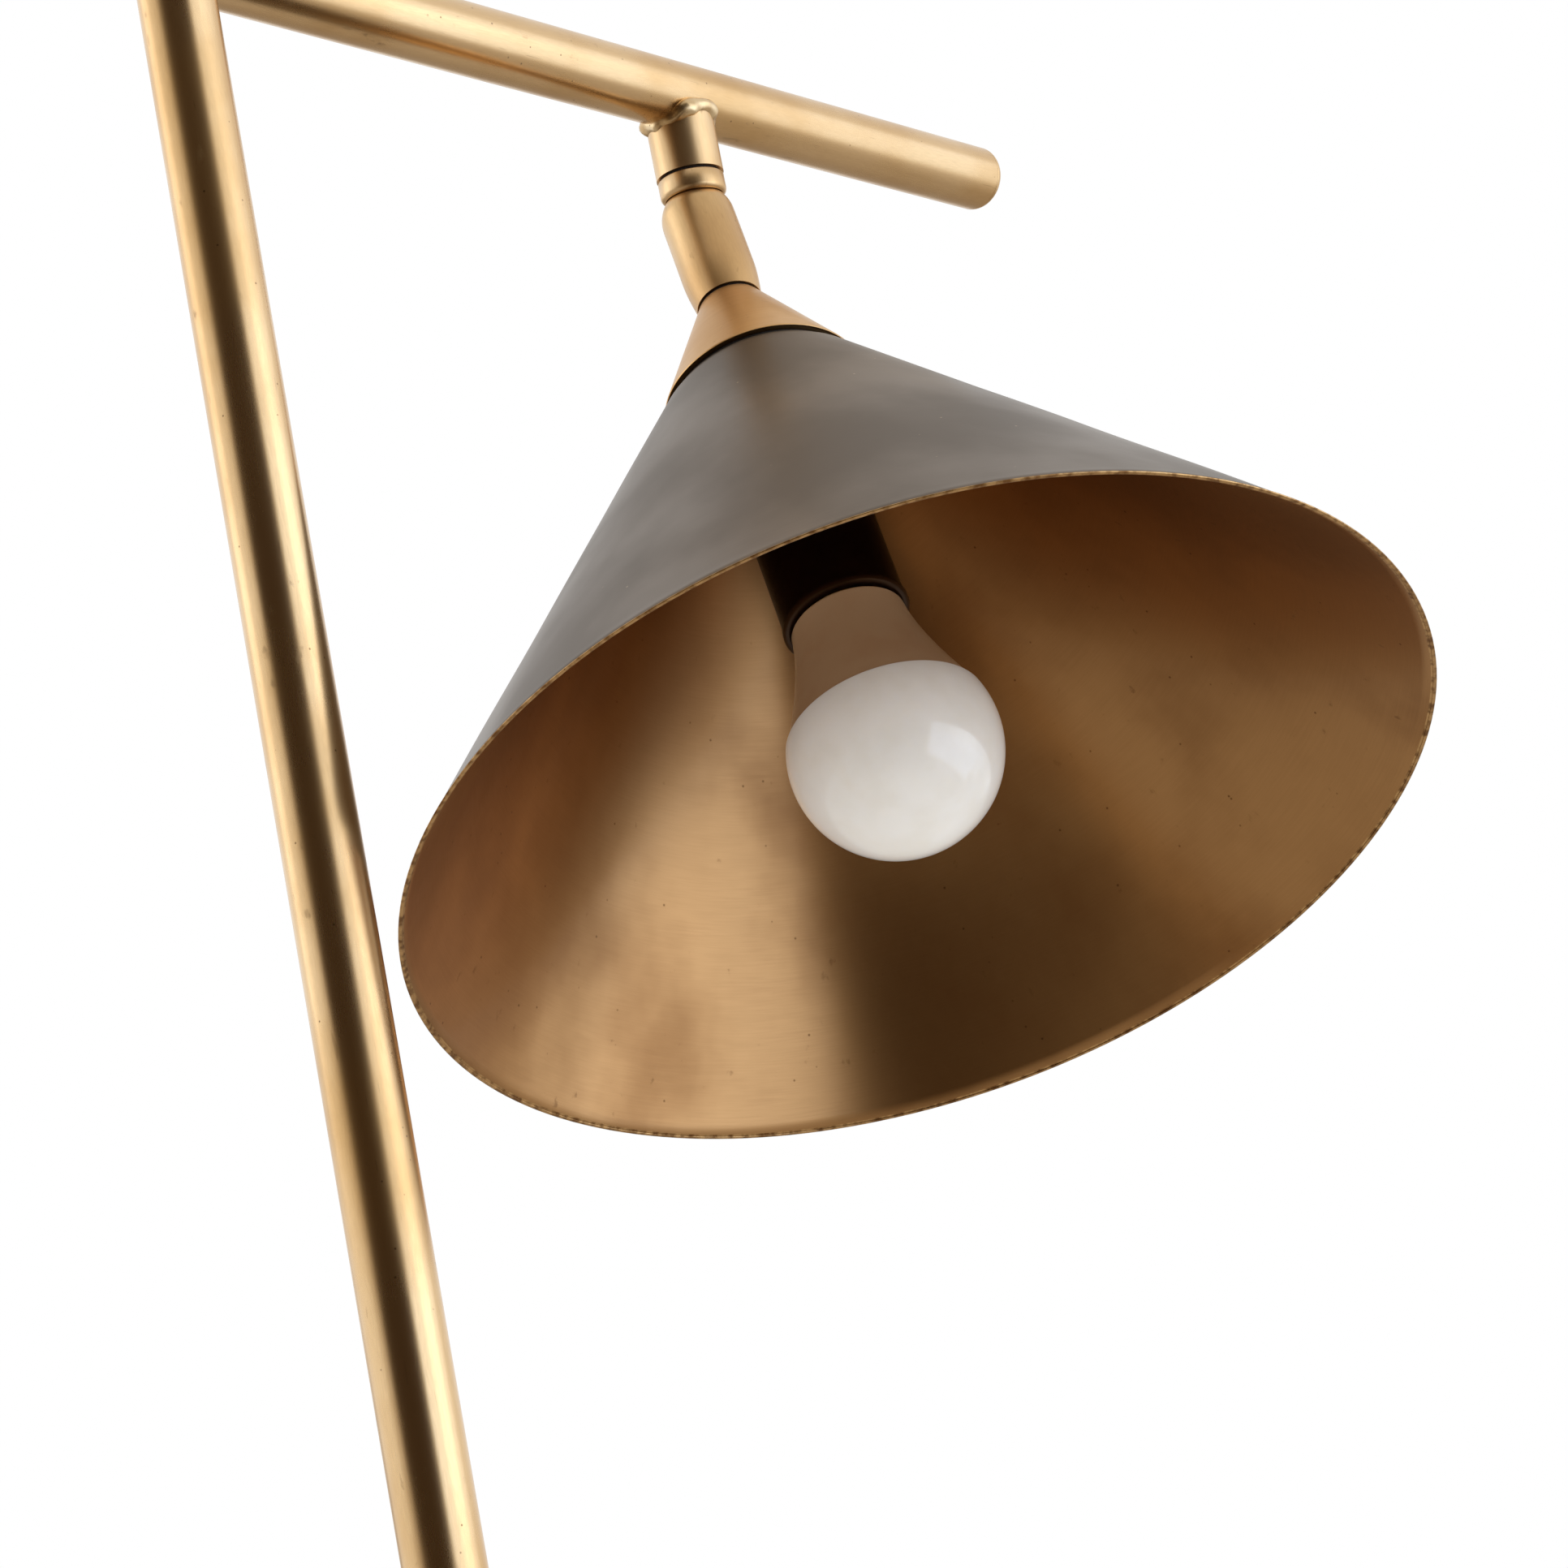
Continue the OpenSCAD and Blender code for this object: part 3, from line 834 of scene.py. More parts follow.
class Finishes:
    """Every finish of the lamp, built once and shared."""

    def __init__(self, place: Layout) -> None:
        """Builds the finishes.

        Args:
            place: the lamp's axes, which each brass part's grain follows.
        """
        self.brass_leg = AgedBrass("aged_brass_long_leg", place.leg).build()
        self.brass_arm = AgedBrass("aged_brass_arm", place.arm).build()
        self.brass_rear = {}
        for side, axes in place.rear.items():
            self.brass_rear[side] = AgedBrass(f"aged_brass_{side}_leg", axes).build()
        self.brass_stub = AgedBrass(
            "aged_brass_stub", place.pivot, pit_share=0.3, roughness=0.36
        ).build()
        self.brass_barrel = AgedBrass(
            "aged_brass_barrel",
            place.head,
            bright="#d8b480",
            patina="#c89f6a",
            roughness=0.36,
            pit_share=0.15,
        ).build()
        self.brass_cap = AgedBrass(
            "spun_brass_cap",
            place.head,
            grain=Grain.AROUND,
            bright="#dfb884",
            patina="#cb9d62",
            roughness=0.36,
            grain_mm=0.5,
            grain_run_mm=18.0,
            pit_share=0.04,
            lacquer=0.15,
        ).build()
        self.weld = AgedBrass(
            "brazing_filler",
            place.pivot,
            bright="#dfc498",
            patina="#c4a06c",
            roughness=0.32,
            patch_mm=6.0,
        ).build()
        self.bronze = DarkBronze("dark_bronze_shade", place.head).build()
        self.brass_rim = AgedBrass(
            "bare_brass_rim",
            place.head,
            bright="#caa26c",
            patina="#80592f",
            roughness=0.35,
            patch_mm=2.5,
            pit_share=0.5,
        ).build()
        self.brass_inside = AgedBrass(
            "brushed_brass_shade_inside",
            place.head,
            grain=Grain.AROUND,
            bright="#b18656",
            patina="#976d42",
            roughness=0.31,
            grain_mm=0.3,
            grain_run_mm=12.0,
            patch_mm=55.0,
            pit_share=0.4,
            pit_mm=0.5,
            pit_spacing_mm=5.5,
            scratch=0.0,
            anisotropic=0.6,
            lacquer=0.1,
            relief=0.03,
        ).build()
        # Painted reflection: the phenolic's reflection tint is painted brown, as if it mirrored the
        # brass shade around it.
        self.phenolic = Moulded(
            "phenolic_moulding", "#24160e", "#180f09", 0.3, ior=1.6, painted_reflection_tint="#c08a58"
        ).build()
        self.rubber = Moulded("black_rubber", "#151413", "#1f1d1b", 0.62, relief=0.12).build()
        self.fibre = Moulded("black_fibre", "#14110e", "#1f1a15", 0.75, relief=0.2).build()
        # Painted light: the white plastic body is coloured warm tan, standing in for the
        # brass-coloured light that the shade's inside casts on it.
        self.bulb_plastic = Moulded(
            "white_bulb_plastic_painted_brass_light", "#f1d2aa", "#ecc9a0", 0.2, painted_reflection_tint="#ffdcb8"
        ).build()
        self.opal = Moulded(
            "frosted_opal",
            "#f4efe8",
            "#efe9e0",
            0.14,
            skin=0.5,
            # Painted glow: the unlit globe gets a faint emission, standing in for light that comes
            # through its thin wall from behind.
            glow=0.14,
            peel_mm=0.35,
            relief=0.01,
            coat=0.5,
            coat_roughness=0.03,
        ).build()
        self.zinc = Moulded("zinc_plated_steel", "#b9bbbd", "#a7a9ab", 0.32, metallic=1.0).build()
        self.aluminium = Moulded(
            "rolled_aluminium", "#d5d7d9", "#c6c8ca", 0.26, metallic=1.0
        ).build()
        self.contact = Moulded(
            "stamped_contact_brass", "#d9bd7c", "#c6a763", 0.28, metallic=1.0
        ).build()
        self.nylon = Moulded("natural_nylon", "#e6e0d2", "#dcd5c5", 0.45, skin=0.1).build()
        self.phosphor = Moulded("led_phosphor", "#f0d25c", "#e6c64c", 0.5).build()
        self.board = Moulded("circuit_board", "#2d6a3c", "#245a32", 0.4).build()
        self.sheath = Moulded("lead_sheath", "#1a1a1a", "#222222", 0.5).build()


# --- sub-assemblies


@dataclass
class Welds:
    """Brazed fillets where the arm meets the long leg and the stub meets the arm."""

    layout: Layout
    finishes: Finishes
    tube_r: float = 10.4
    stub_r: float = 10.3
    stub_bite: float = 0.86
    stub_inset: float = 1.4
    stub_bead: float = 2.9
    stub_lump: float = 0.8
    arm_bead: float = 1.1
    arm_lump: float = 0.5
    lumps_per_m: float = 150.0
    seed_step: float = 37.0

    @staticmethod
    def saddle(inner: float, outer: float, bite: float, steps: int = 180) -> Mesh:
        """The line where a tube meets a thicker or equal one square to it, as a closed path.

        Args:
            inner: radius of the tube that ends there, along -z.
            outer: radius of the tube that it meets, along x, in the same plane.
            bite: how far the sides reach up round that tube, 1 for all the way to its axis.
            steps: straight pieces.

        Returns:
            A mesh of edges, in metres.
        """
        points = []
        for step in range(steps):
            turn = 2 * math.pi * step / steps
            x, y = inner * math.cos(turn), inner * math.sin(turn)
            points.append(Vector((x, y, -math.sqrt(max(outer**2 - (bite * y) ** 2, 0.0)))) * MM)
        mesh = bpy.data.meshes.new("saddle_path")
        mesh.from_pydata(points, [(i, (i + 1) % steps) for i in range(steps)], [])
        return mesh

    def bead(self, name: str, path: Mesh, axes: Axes, size: float, lump: float, seed: int) -> Piece:
        """Lays a lumpy bead of filler along a path.

        Args:
            name: the piece's name.
            path: closed path of edges.
            axes: where the path goes.
            size: the bead's radius, in millimetres.
            lump: how far it swells and sinks, in millimetres.
            seed: picks where the lumps fall.

        Returns:
            The new object.
        """
        recipe = Recipe(name)
        tree = recipe.tree
        radius = recipe.number("Bead radius", size * MM)
        swell = recipe.number("Lump height", lump * MM)
        shift = recipe.number("Seed", seed * self.seed_step)
        line = add(tree, "GeometryNodeMeshToCurve", {"Mesh": recipe.entry.outputs["Geometry"]})
        ring = add(tree, "GeometryNodeCurvePrimitiveCircle", {"Resolution": 20, "Radius": radius})
        tube = add(tree, "GeometryNodeCurveToMesh", {"Curve": line, "Profile Curve": ring})
        where = add(tree, "GeometryNodeInputPosition")
        moved = add(
            tree, "ShaderNodeVectorMath", {0: where, "Scale": self.lumps_per_m}, operation="SCALE"
        )
        moved = add(tree, "ShaderNodeVectorMath", {0: moved, 1: shift}, operation="ADD")
        level = add(tree, "ShaderNodeTexNoise", {"Vector": moved, "Scale": 1.0, "Detail": 1.0})
        level = add(tree, "ShaderNodeMapRange", {0: level, 1: 0.3, 2: 0.7, 3: -0.6, 4: 1.0})
        height = add(tree, "ShaderNodeMath", {0: level, 1: swell}, operation="MULTIPLY")
        normal = add(tree, "GeometryNodeInputNormal")
        push = add(tree, "ShaderNodeVectorMath", {0: normal, "Scale": height}, operation="SCALE")
        made = add(tree, "GeometryNodeSetPosition", {"Geometry": tube, "Offset": push})
        return recipe.run(name, made, self.finishes.weld, axes, start=path)

    def build(self) -> None:
        """Builds both welds."""
        under_arm = self.layout.pivot.moved(z=self.layout.down_stub())
        path = self.saddle(self.stub_r - self.stub_inset, self.tube_r, self.stub_bite)
        stub = self.bead("stub_weld", path, under_arm, self.stub_bead, self.stub_lump, 1)
        placed(stub, "frame", "antique_brass")
        leg = self.layout.leg
        # The arm leaves the leg sideways, so the saddle's -z is turned to point along the arm.
        beside = Axes(self.layout.arm.origin, leg.z, -leg.x)
        path = self.saddle(self.tube_r, self.tube_r, 1.0)
        arm = self.bead("arm_weld", path, beside, self.arm_bead, self.arm_lump, 2)
        placed(arm, "frame", "antique_brass")


@dataclass(frozen=True)
class Tube:
    """A drawn tube that stands for a frame node, its near or far end coped to another tube.

    Attributes:
        node: the frame node.
        axes: the tube runs along their z; a tube that it is coped to runs along their x.
        material: its finish.
        radius: outside radius, in millimetres.
        cope: which end is coped: 1 for the far end, -1 for the near end, 0 for neither.
        cope_at: height of the axis of the tube that it is coped to, in millimetres.
        bite: how far the coped sides reach round that tube, 1 for all the way to its axis.
        hole: the wire's hole starts at the origin of these axes and runs along their z.
        bore_r: inside radius, in millimetres.
        cope_r: radius that the coped end follows, a little more than the other tube's.
        hole_r: the wire's hole's radius, in millimetres.
        seam: how far a square far end runs on to meet its cap, in millimetres.
    """

    node: str
    axes: Axes
    material: Material
    radius: float = 10.4
    cope: int = 0
    cope_at: float = 0.0
    bite: float = 1.0
    hole: Axes | None = None
    bore_r: float = 8.9
    cope_r: float = 10.45
    hole_r: float = 4.0
    seam: float = 0.05

    def fitted(self, radius: float, angle: float, height: float) -> tuple[float, float]:
        """Shapes the coped end.

        Args:
            radius: the point's radius, in millimetres.
            angle: its angle round the tube, in radians.
            height: its height before the cope, in millimetres.

        Returns:
            How far the cope moves it, out and up, in millimetres.
        """
        if self.cope and height == self.cope_at:
            side = self.bite * radius * math.sin(angle)
            return 0.0, -self.cope * math.sqrt(max(self.cope_r**2 - side**2, 0.0))
        return 0.0, 0.0

    def build(self) -> None:
        """Draws the tube."""
        low, high = reach(self.node, self.axes)
        start = self.cope_at if self.cope < 0 else low.z
        end = self.cope_at if self.cope > 0 else high.z + self.seam
        levels = [start, end]
        if self.hole:
            middle = (self.hole.origin - self.axes.origin).dot(self.axes.z) / MM
            levels[1:1] = [middle - 2 * self.hole_r, middle + 2 * self.hole_r]
        outline = [(self.radius, level) for level in levels]
        outline += [(self.bore_r, level) for level in reversed(levels)]
        piece = revolve(
            self.node + "_tube", [outline], self.axes, [self.material], shape=self.fitted
        )
        if self.hole:
            drill(piece, self.hole, self.hole_r, 2 * self.radius)
        placed(piece, "frame", "antique_brass", self.node)


@dataclass
class Tripod:
    """Legs, hub, feet, arm and stub: everything that stays still."""

    layout: Layout
    finishes: Finishes

    def draw_tubes(self) -> None:
        """Draws the long leg's upper tube, the rear legs, the arm and the stub."""
        place, f = self.layout, self.finishes
        at_stub = place.arm.moved(z=place.along_arm()).origin
        rise = place.down_stub()
        into_arm = Axes(place.arm.origin, place.leg.z, place.leg.x)
        into_stub = Axes(at_stub, place.leg.x, -place.leg.z)
        tubes = [
            Tube("main_leg_upper", place.leg, f.brass_leg, hole=into_arm),
            Tube("boom_arm", place.arm, f.brass_arm, cope=-1, hole=into_stub),
            Tube(
                "drop_stub", place.pivot, f.brass_stub, radius=10.3, cope=1, cope_at=rise, bite=0.86
            ),
        ]
        tubes += [
            Tube(f"rear_leg_{side}", axes, f.brass_rear[side]) for side, axes in place.rear.items()
        ]
        for tube in tubes:
            tube.build()

    def build(self) -> None:
        """Draws the tubes and dresses the frame's other solids."""
        self.draw_tubes()
        f = self.finishes
        rear = f.brass_rear
        plan = [
            ("main_leg_lower", f.brass_leg, "antique_brass", 0.0),
            ("arm_end_cap", f.brass_arm, "antique_brass", 0.0),
            ("leg_top_cap", f.brass_leg, "antique_brass", 0.0),
            ("leg_hub", f.brass_leg, "antique_brass", 0.7),
            ("front_ferrule", f.brass_leg, "antique_brass", 0.5),
            ("left_ferrule", rear["left"], "antique_brass", 0.5),
            ("right_ferrule", rear["right"], "antique_brass", 0.5),
            ("hub_grub_screws", f.zinc, "zinc_steel", 0.15),
            ("leg_joint_sleeve", f.zinc, "zinc_steel", 0.3),
            ("front_pad", f.rubber, "black_rubber", 0.3),
            ("left_pad", f.rubber, "black_rubber", 0.3),
            ("right_pad", f.rubber, "black_rubber", 0.3),
            ("cable_grommet", f.rubber, "black_rubber", 0.3),
            ("stub_bushing", f.contact, "turned_brass", 0.1),
            ("frame_wire", f.sheath, "wire_sheath", 0.0),
        ]
        for node, material, slot, ease in plan:
            dressed(node, material, "frame", slot, ease)


@dataclass
class Swivel:
    """The part that turns in the stub: ball, collar, washer and retainer."""

    finishes: Finishes

    def build(self) -> None:
        """Dresses the swivel's solids."""
        f = self.finishes
        dressed("ball_stud", f.contact, "swivel", "turned_brass")
        dressed("swivel_collar", f.brass_stub, "swivel", "antique_brass")
        dressed("swivel_washer", f.fibre, "swivel", "black_fibre")
        dressed("stud_retainer", f.zinc, "swivel", "zinc_steel", 0.1)


@dataclass
class Shade:
    """The spun cone: dark outside, bare at the rim and brushed brass inside."""

    layout: Layout
    finishes: Finishes
    hole_r: float = 5.05
    top: float = 74.0
    foot: float = 235.0
    top_r: float = 29.9
    rim_r: float = 145.0
    wall: float = 1.2
    shoulder: float = 1.2
    bead: float = 0.28
    bead_gap: float = 0.05
    bead_rise: float = 0.4
    inner_rise: float = 0.6
    inner_corner: float = 2.2
    wave_mm: float = 0.42
    wave_fade_mm: float = 60.0
    wave_run_mm: float = 42.0
    waves_round: float = 1.6
    rows: int = 64

    def wave(self, radius: float, angle: float, height: float) -> tuple[float, float]:
        """Gives the wall the faint waves that spinning leaves, fading out towards the top.

        Args:
            radius: the point's radius, in millimetres; the waves don't depend on it.
            angle: its angle round the cone, in radians.
            height: its height, in millimetres.

        Returns:
            How far it is off a true cone, out and up, in millimetres.
        """
        fade = min(max((-height - self.top) / self.wave_fade_mm, 0.0), 1.0)
        x, y = math.cos(angle) * self.waves_round, math.sin(angle) * self.waves_round
        spot = Vector((x, y, height / self.wave_run_mm))
        return self.wave_mm * fade * noise.noise(spot), 0.0

    def build(self) -> None:
        """Spins the shade."""
        slope = (self.rim_r - self.top_r) / (self.foot - self.top)
        rows = self.rows
        start = self.top + self.shoulder
        outside: Outline = [(self.hole_r, -self.top)]
        outside += arc((self.top_r - self.shoulder, -start), self.shoulder, 90, 20, 8)
        for row in range(1, rows):
            down = start + (self.foot - self.bead_rise - start) * row / rows
            outside.append((self.top_r + slope * (down - self.top), -down))
        edge = self.rim_r - self.wall
        middle = -self.foot + self.bead
        rim = arc((self.rim_r - self.bead - self.bead_gap, middle), self.bead, 20, -90, 5)
        rim += arc((edge + self.bead + self.bead_gap, middle), self.bead, -90, -200, 5)
        inside: Outline = []
        for row in range(rows):
            down = self.foot - self.inner_rise
            down += (start + self.wall - self.foot + self.inner_rise) * row / rows
            inside.append((edge - slope * (self.foot - down), -down))
        ceiling = -self.top - self.wall
        inside += [(self.top_r - self.wall - self.inner_corner, ceiling), (self.hole_r, ceiling)]
        f = self.finishes
        piece = revolve(
            "shade_spinning",
            [outside, rim, inside],
            self.layout.head,
            [f.bronze, f.brass_rim, f.brass_inside],
            turns=192,
            shape=self.wave,
        )
        placed(piece, "head", "shade_bronze", "shade")


@dataclass
class HeadFittings:
    """Barrel, cap, gaskets, nipple and lampholder."""

    layout: Layout
    finishes: Finishes
    bore_r: float = 5.05
    cap_top: float = 35.8
    cap_foot: float = 72.2
    cap_top_r: float = 9.6
    cap_foot_r: float = 29.6
    cap_wall: float = 1.4
    cap_lip: float = 5.0
    cap_lip_rise: float = 1.5
    cap_neck: float = 4.0

    def build_cap(self) -> None:
        """Spins the brass cap: a thin cone with a turned-in foot and eased edges."""
        top, foot = -self.cap_top, -self.cap_foot
        lip_r, lip_top = self.cap_foot_r - self.cap_lip, foot + self.cap_lip_rise
        corners = [
            (self.bore_r, top, 0.0),
            (self.cap_top_r, top, 0.5),
            (self.cap_foot_r, foot + 0.5, 0.12),
            (self.cap_foot_r, foot, 0.12),
            (lip_r, foot, 0.3),
            (lip_r, lip_top, 0.0),
            (self.cap_foot_r - self.cap_wall - 1.7, lip_top, 0.0),
            (self.cap_top_r - 0.9, top - self.cap_neck, 0.0),
            (self.bore_r, top - self.cap_neck, 0.0),
        ]
        piece = revolve(
            "cap_spinning", [eased(corners)], self.layout.head, [self.finishes.brass_cap], turns=128
        )
        placed(piece, "head", "cap_brass", "shade_cap")

    def build(self) -> None:
        """Builds the cap and dresses the other fittings."""
        self.build_cap()
        f = self.finishes
        plan = [
            ("swivel_barrel", f.brass_barrel, "antique_brass", 0.0),
            ("ball_seat", f.nylon, "nylon", 0.1),
            ("disc_springs", f.zinc, "zinc_steel", 0.0),
            ("tension_nut", f.contact, "turned_brass", 0.2),
            ("head_nipple", f.zinc, "zinc_steel", 0.2),
            ("barrel_gasket", f.fibre, "black_fibre", 0.2),
            ("shade_gasket", f.rubber, "black_rubber", 0.4),
            ("lock_washer", f.zinc, "zinc_steel", 0.2),
            ("lock_nut", f.contact, "turned_brass", 0.3),
            ("socket_cap", f.phenolic, "phenolic", 0.0),
            ("socket_body", f.phenolic, "phenolic", 0.0),
            ("screw_shell", f.contact, "contact_brass", 0.0),
            ("socket_disc", f.nylon, "nylon", 0.2),
            ("centre_contact", f.contact, "contact_brass", 0.2),
            ("head_wire", f.sheath, "wire_sheath", 0.0),
        ]
        for node, material, slot, ease in plan:
            dressed(node, material, "head", slot, ease)


@dataclass
class Bulb:
    """The bulb: frosted globe, plastic body, screw base and what it holds."""

    layout: Layout
    finishes: Finishes
    globe_r: float = 30.0
    middle: float = 205.4
    seam: float = 197.0
    wall: float = 1.3
    body_top: float = 159.8
    body_top_r: float = 16.6
    body_foot_r: float = 28.2
    neck_r: float = 12.7
    inner_r: float = 9.1
    flare_r: float = 18.0
    flare_at: float = 174.0
    collar_in: float = 2.8
    base_top: float = 131.0
    base_foot: float = 157.0
    base_r: float = 12.35
    pitch: float = 3.63
    crest: float = 0.75
    thread_margin: float = 2.0
    chip: float = 2.8
    chip_thick: float = 0.8
    chips: int = 14
    chip_ring: float = 18.0
    chip_drop: float = 1.65

    def build_globe(self) -> None:
        """Blows the frosted globe."""
        above = self.middle - self.seam
        start = math.degrees(math.asin(above / self.globe_r))
        inner = self.globe_r - self.wall
        start_in = math.degrees(math.asin(above / inner))
        skin = arc((0, -self.middle), self.globe_r, -90, start, 60)
        back = arc((0, -self.middle), inner, start_in, -90, 40)
        skin[0], back[-1] = (0.0, -self.middle - self.globe_r), (0.0, -self.middle - inner)
        piece = revolve(
            "frosted_globe", [skin + back], self.layout.head, [self.finishes.opal], turns=128
        )
        placed(piece, "bulb", "opal", "bulb_diffuser")

    def build_body(self) -> None:
        """Moulds the white body that flares to the globe."""
        top, foot, collar = -self.body_top, -self.seam, -self.body_top + self.collar_in
        narrow, wide = self.body_top_r, self.body_foot_r
        flare = curve((narrow, top - 0.5), (self.flare_r, -self.flare_at), (wide, foot + 0.4), 40)
        outline: Outline = [(self.neck_r, collar), (self.neck_r, top)]
        outline += arc((narrow - 0.5, top - 0.5), 0.5, 90, 0, 4) + flare[1:]
        outline += [(wide - 0.3, foot), (wide - 1.5, foot)]
        outline += curve(
            (wide - 1.7, foot + 1), (narrow, -self.flare_at), (self.inner_r + 3, top - 1.5), 16
        )
        outline += [(self.inner_r, top + 0.5), (self.inner_r, collar)]
        piece = revolve(
            "bulb_body", [outline], self.layout.head, [self.finishes.bulb_plastic], turns=128
        )
        placed(piece, "bulb", "bulb_plastic", "bulb_collar")

    def build_base(self) -> None:
        """Rolls the screw base: a shell with a true helical thread along a spiral path."""
        recipe = Recipe("bulb_thread")
        tree = recipe.tree
        height = self.base_foot - self.base_top - 2 * self.thread_margin
        radius = recipe.number("Core radius", self.base_r * MM)
        rotations = recipe.number("Turns of thread", height / self.pitch)
        rise = recipe.number("Threaded length", height * MM)
        crest = recipe.number("Crest radius", self.crest * MM)
        shape = {"Resolution": 48, "Rotations": rotations, "Height": rise}
        shape |= {"Start Radius": radius, "End Radius": radius}
        spiral = add(tree, "GeometryNodeCurveSpiral", shape)
        ring = add(tree, "GeometryNodeCurvePrimitiveCircle", {"Resolution": 12, "Radius": crest})
        ridge = add(
            tree,
            "GeometryNodeCurveToMesh",
            {"Curve": spiral, "Profile Curve": ring, "Fill Caps": True},
        )
        core = add(
            tree,
            "GeometryNodeMeshCylinder",
            {"Vertices": 96, "Radius": radius, "Depth": (self.base_foot - self.base_top) * MM},
        )
        lifted = add(
            tree,
            "GeometryNodeTransform",
            {"Geometry": core, "Translation": (0.0, 0.0, height / 2 * MM)},
        )
        joined = add(tree, "GeometryNodeJoinGeometry")
        for part in (ridge, lifted):
            tree.links.new(part, joined.node.inputs[0])
        start = self.layout.head.moved(z=-self.base_foot + self.thread_margin)
        piece = recipe.run("bulb_thread", joined, self.finishes.aluminium, start)
        placed(piece, "bulb", "base_aluminium", "bulb_screw_base")

    def build_chips(self) -> None:
        """Sets the ring of LEDs on its board."""
        recipe = Recipe("led_ring")
        tree = recipe.tree
        count = recipe.number("Number of LEDs", self.chips)
        radius = recipe.number("Ring radius", self.chip_ring * MM)
        ring = add(tree, "GeometryNodeMeshCircle", {"Vertices": count, "Radius": radius})
        chip = add(
            tree,
            "GeometryNodeMeshCube",
            {"Size": (self.chip * MM, self.chip * MM, self.chip_thick * MM)},
        )
        place = add(tree, "GeometryNodeInputPosition")
        facing = add(tree, "FunctionNodeAlignRotationToVector", {"Vector": place}, axis="X")
        made = add(
            tree,
            "GeometryNodeInstanceOnPoints",
            {"Points": ring, "Instance": chip, "Rotation": facing},
        )
        start = self.layout.head.moved(z=-self.seam - self.chip_drop)
        piece = recipe.run("led_ring", made, self.finishes.phosphor, start)
        placed(piece, "bulb", "led_phosphor", "led_chips")

    def build(self) -> None:
        """Builds the bulb."""
        self.build_globe()
        self.build_body()
        self.build_base()
        self.build_chips()
        f = self.finishes
        dressed("bulb_insulator", f.phenolic, "bulb", "phenolic")
        dressed("bulb_tip", f.zinc, "bulb", "solder")
        dressed("led_board", f.aluminium, "bulb", "base_aluminium", 0.1)
        dressed("driver_board", f.board, "bulb", "circuit_board", 0.1)


# --- studio


@dataclass(frozen=True)
class Softbox:
    """A soft rectangular lamp."""

    name: str
    place: tuple[float, float, float]
    aim: tuple[float, float, float]
    size: tuple[float, float]
    watts: float

    def build(self) -> None:
        """Hangs the lamp."""
        light = bpy.data.lights.new(self.name, "AREA")
        light.shape = "RECTANGLE"
        light.size, light.size_y = self.size
        light.energy = self.watts
        lamp = bpy.data.objects.new(self.name, light)
        lamp.location = self.place
        lamp.rotation_mode = "QUATERNION"
        lamp.rotation_quaternion = (Vector(self.aim) - Vector(self.place)).to_track_quat("-Z", "Y")
        bpy.context.scene.collection.objects.link(lamp)


@dataclass(frozen=True)
class Panel:
    """A lit or dark part of the studio walls, as the metal sees it.

    Attributes:
        heading: direction of its middle, in degrees from +X towards +Y.
        pitch: how far its middle is above the level, in degrees.
        half_width: degrees from its middle to its side.
        half_height: degrees from its middle to its top.
        edge: width of its soft edge, in degrees.
        level: its brightness.
    """

    heading: float
    pitch: float
    half_width: float
    half_height: float
    edge: float
    level: float

    def laid_over(self, tree: Tree, way: Socket, below: Socket) -> Socket:
        """Adds the panel to the brightness of the walls.

        Args:
            tree: the world's tree.
            way: unit vector of the direction looked in.
            below: brightness without the panel.

        Returns:
            The brightness with it.
        """
        lean = Matrix.Rotation(math.radians(self.pitch), 3, "Y")
        turn = lean @ Matrix.Rotation(math.radians(-self.heading), 3, "Z")
        faced = add(
            tree,
            "ShaderNodeMapping",
            {"Vector": way, "Rotation": turn.to_euler()},
            vector_type="POINT",
        )
        x, y, z = add(tree, "ShaderNodeSeparateXYZ", {0: faced}).node.outputs
        side = add(tree, "ShaderNodeMath", {0: y, 1: x}, operation="ARCTAN2")
        rise = add(tree, "ShaderNodeMath", {0: z}, operation="ARCSINE")
        inside = []
        for angle, half in ((side, self.half_width), (rise, self.half_height)):
            off = add(tree, "ShaderNodeMath", {0: angle}, operation="ABSOLUTE")
            outer, inner = math.radians(half + self.edge / 2), math.radians(half - self.edge / 2)
            span = {0: off, 1: outer, 2: inner}
            inside.append(add(tree, "ShaderNodeMapRange", span, interpolation_type="SMOOTHSTEP"))
        amount = add(tree, "ShaderNodeMath", {0: inside[0], 1: inside[1]}, operation="MULTIPLY")
        return add(tree, "ShaderNodeMix", {0: amount, 2: below, 3: self.level}, data_type="FLOAT")


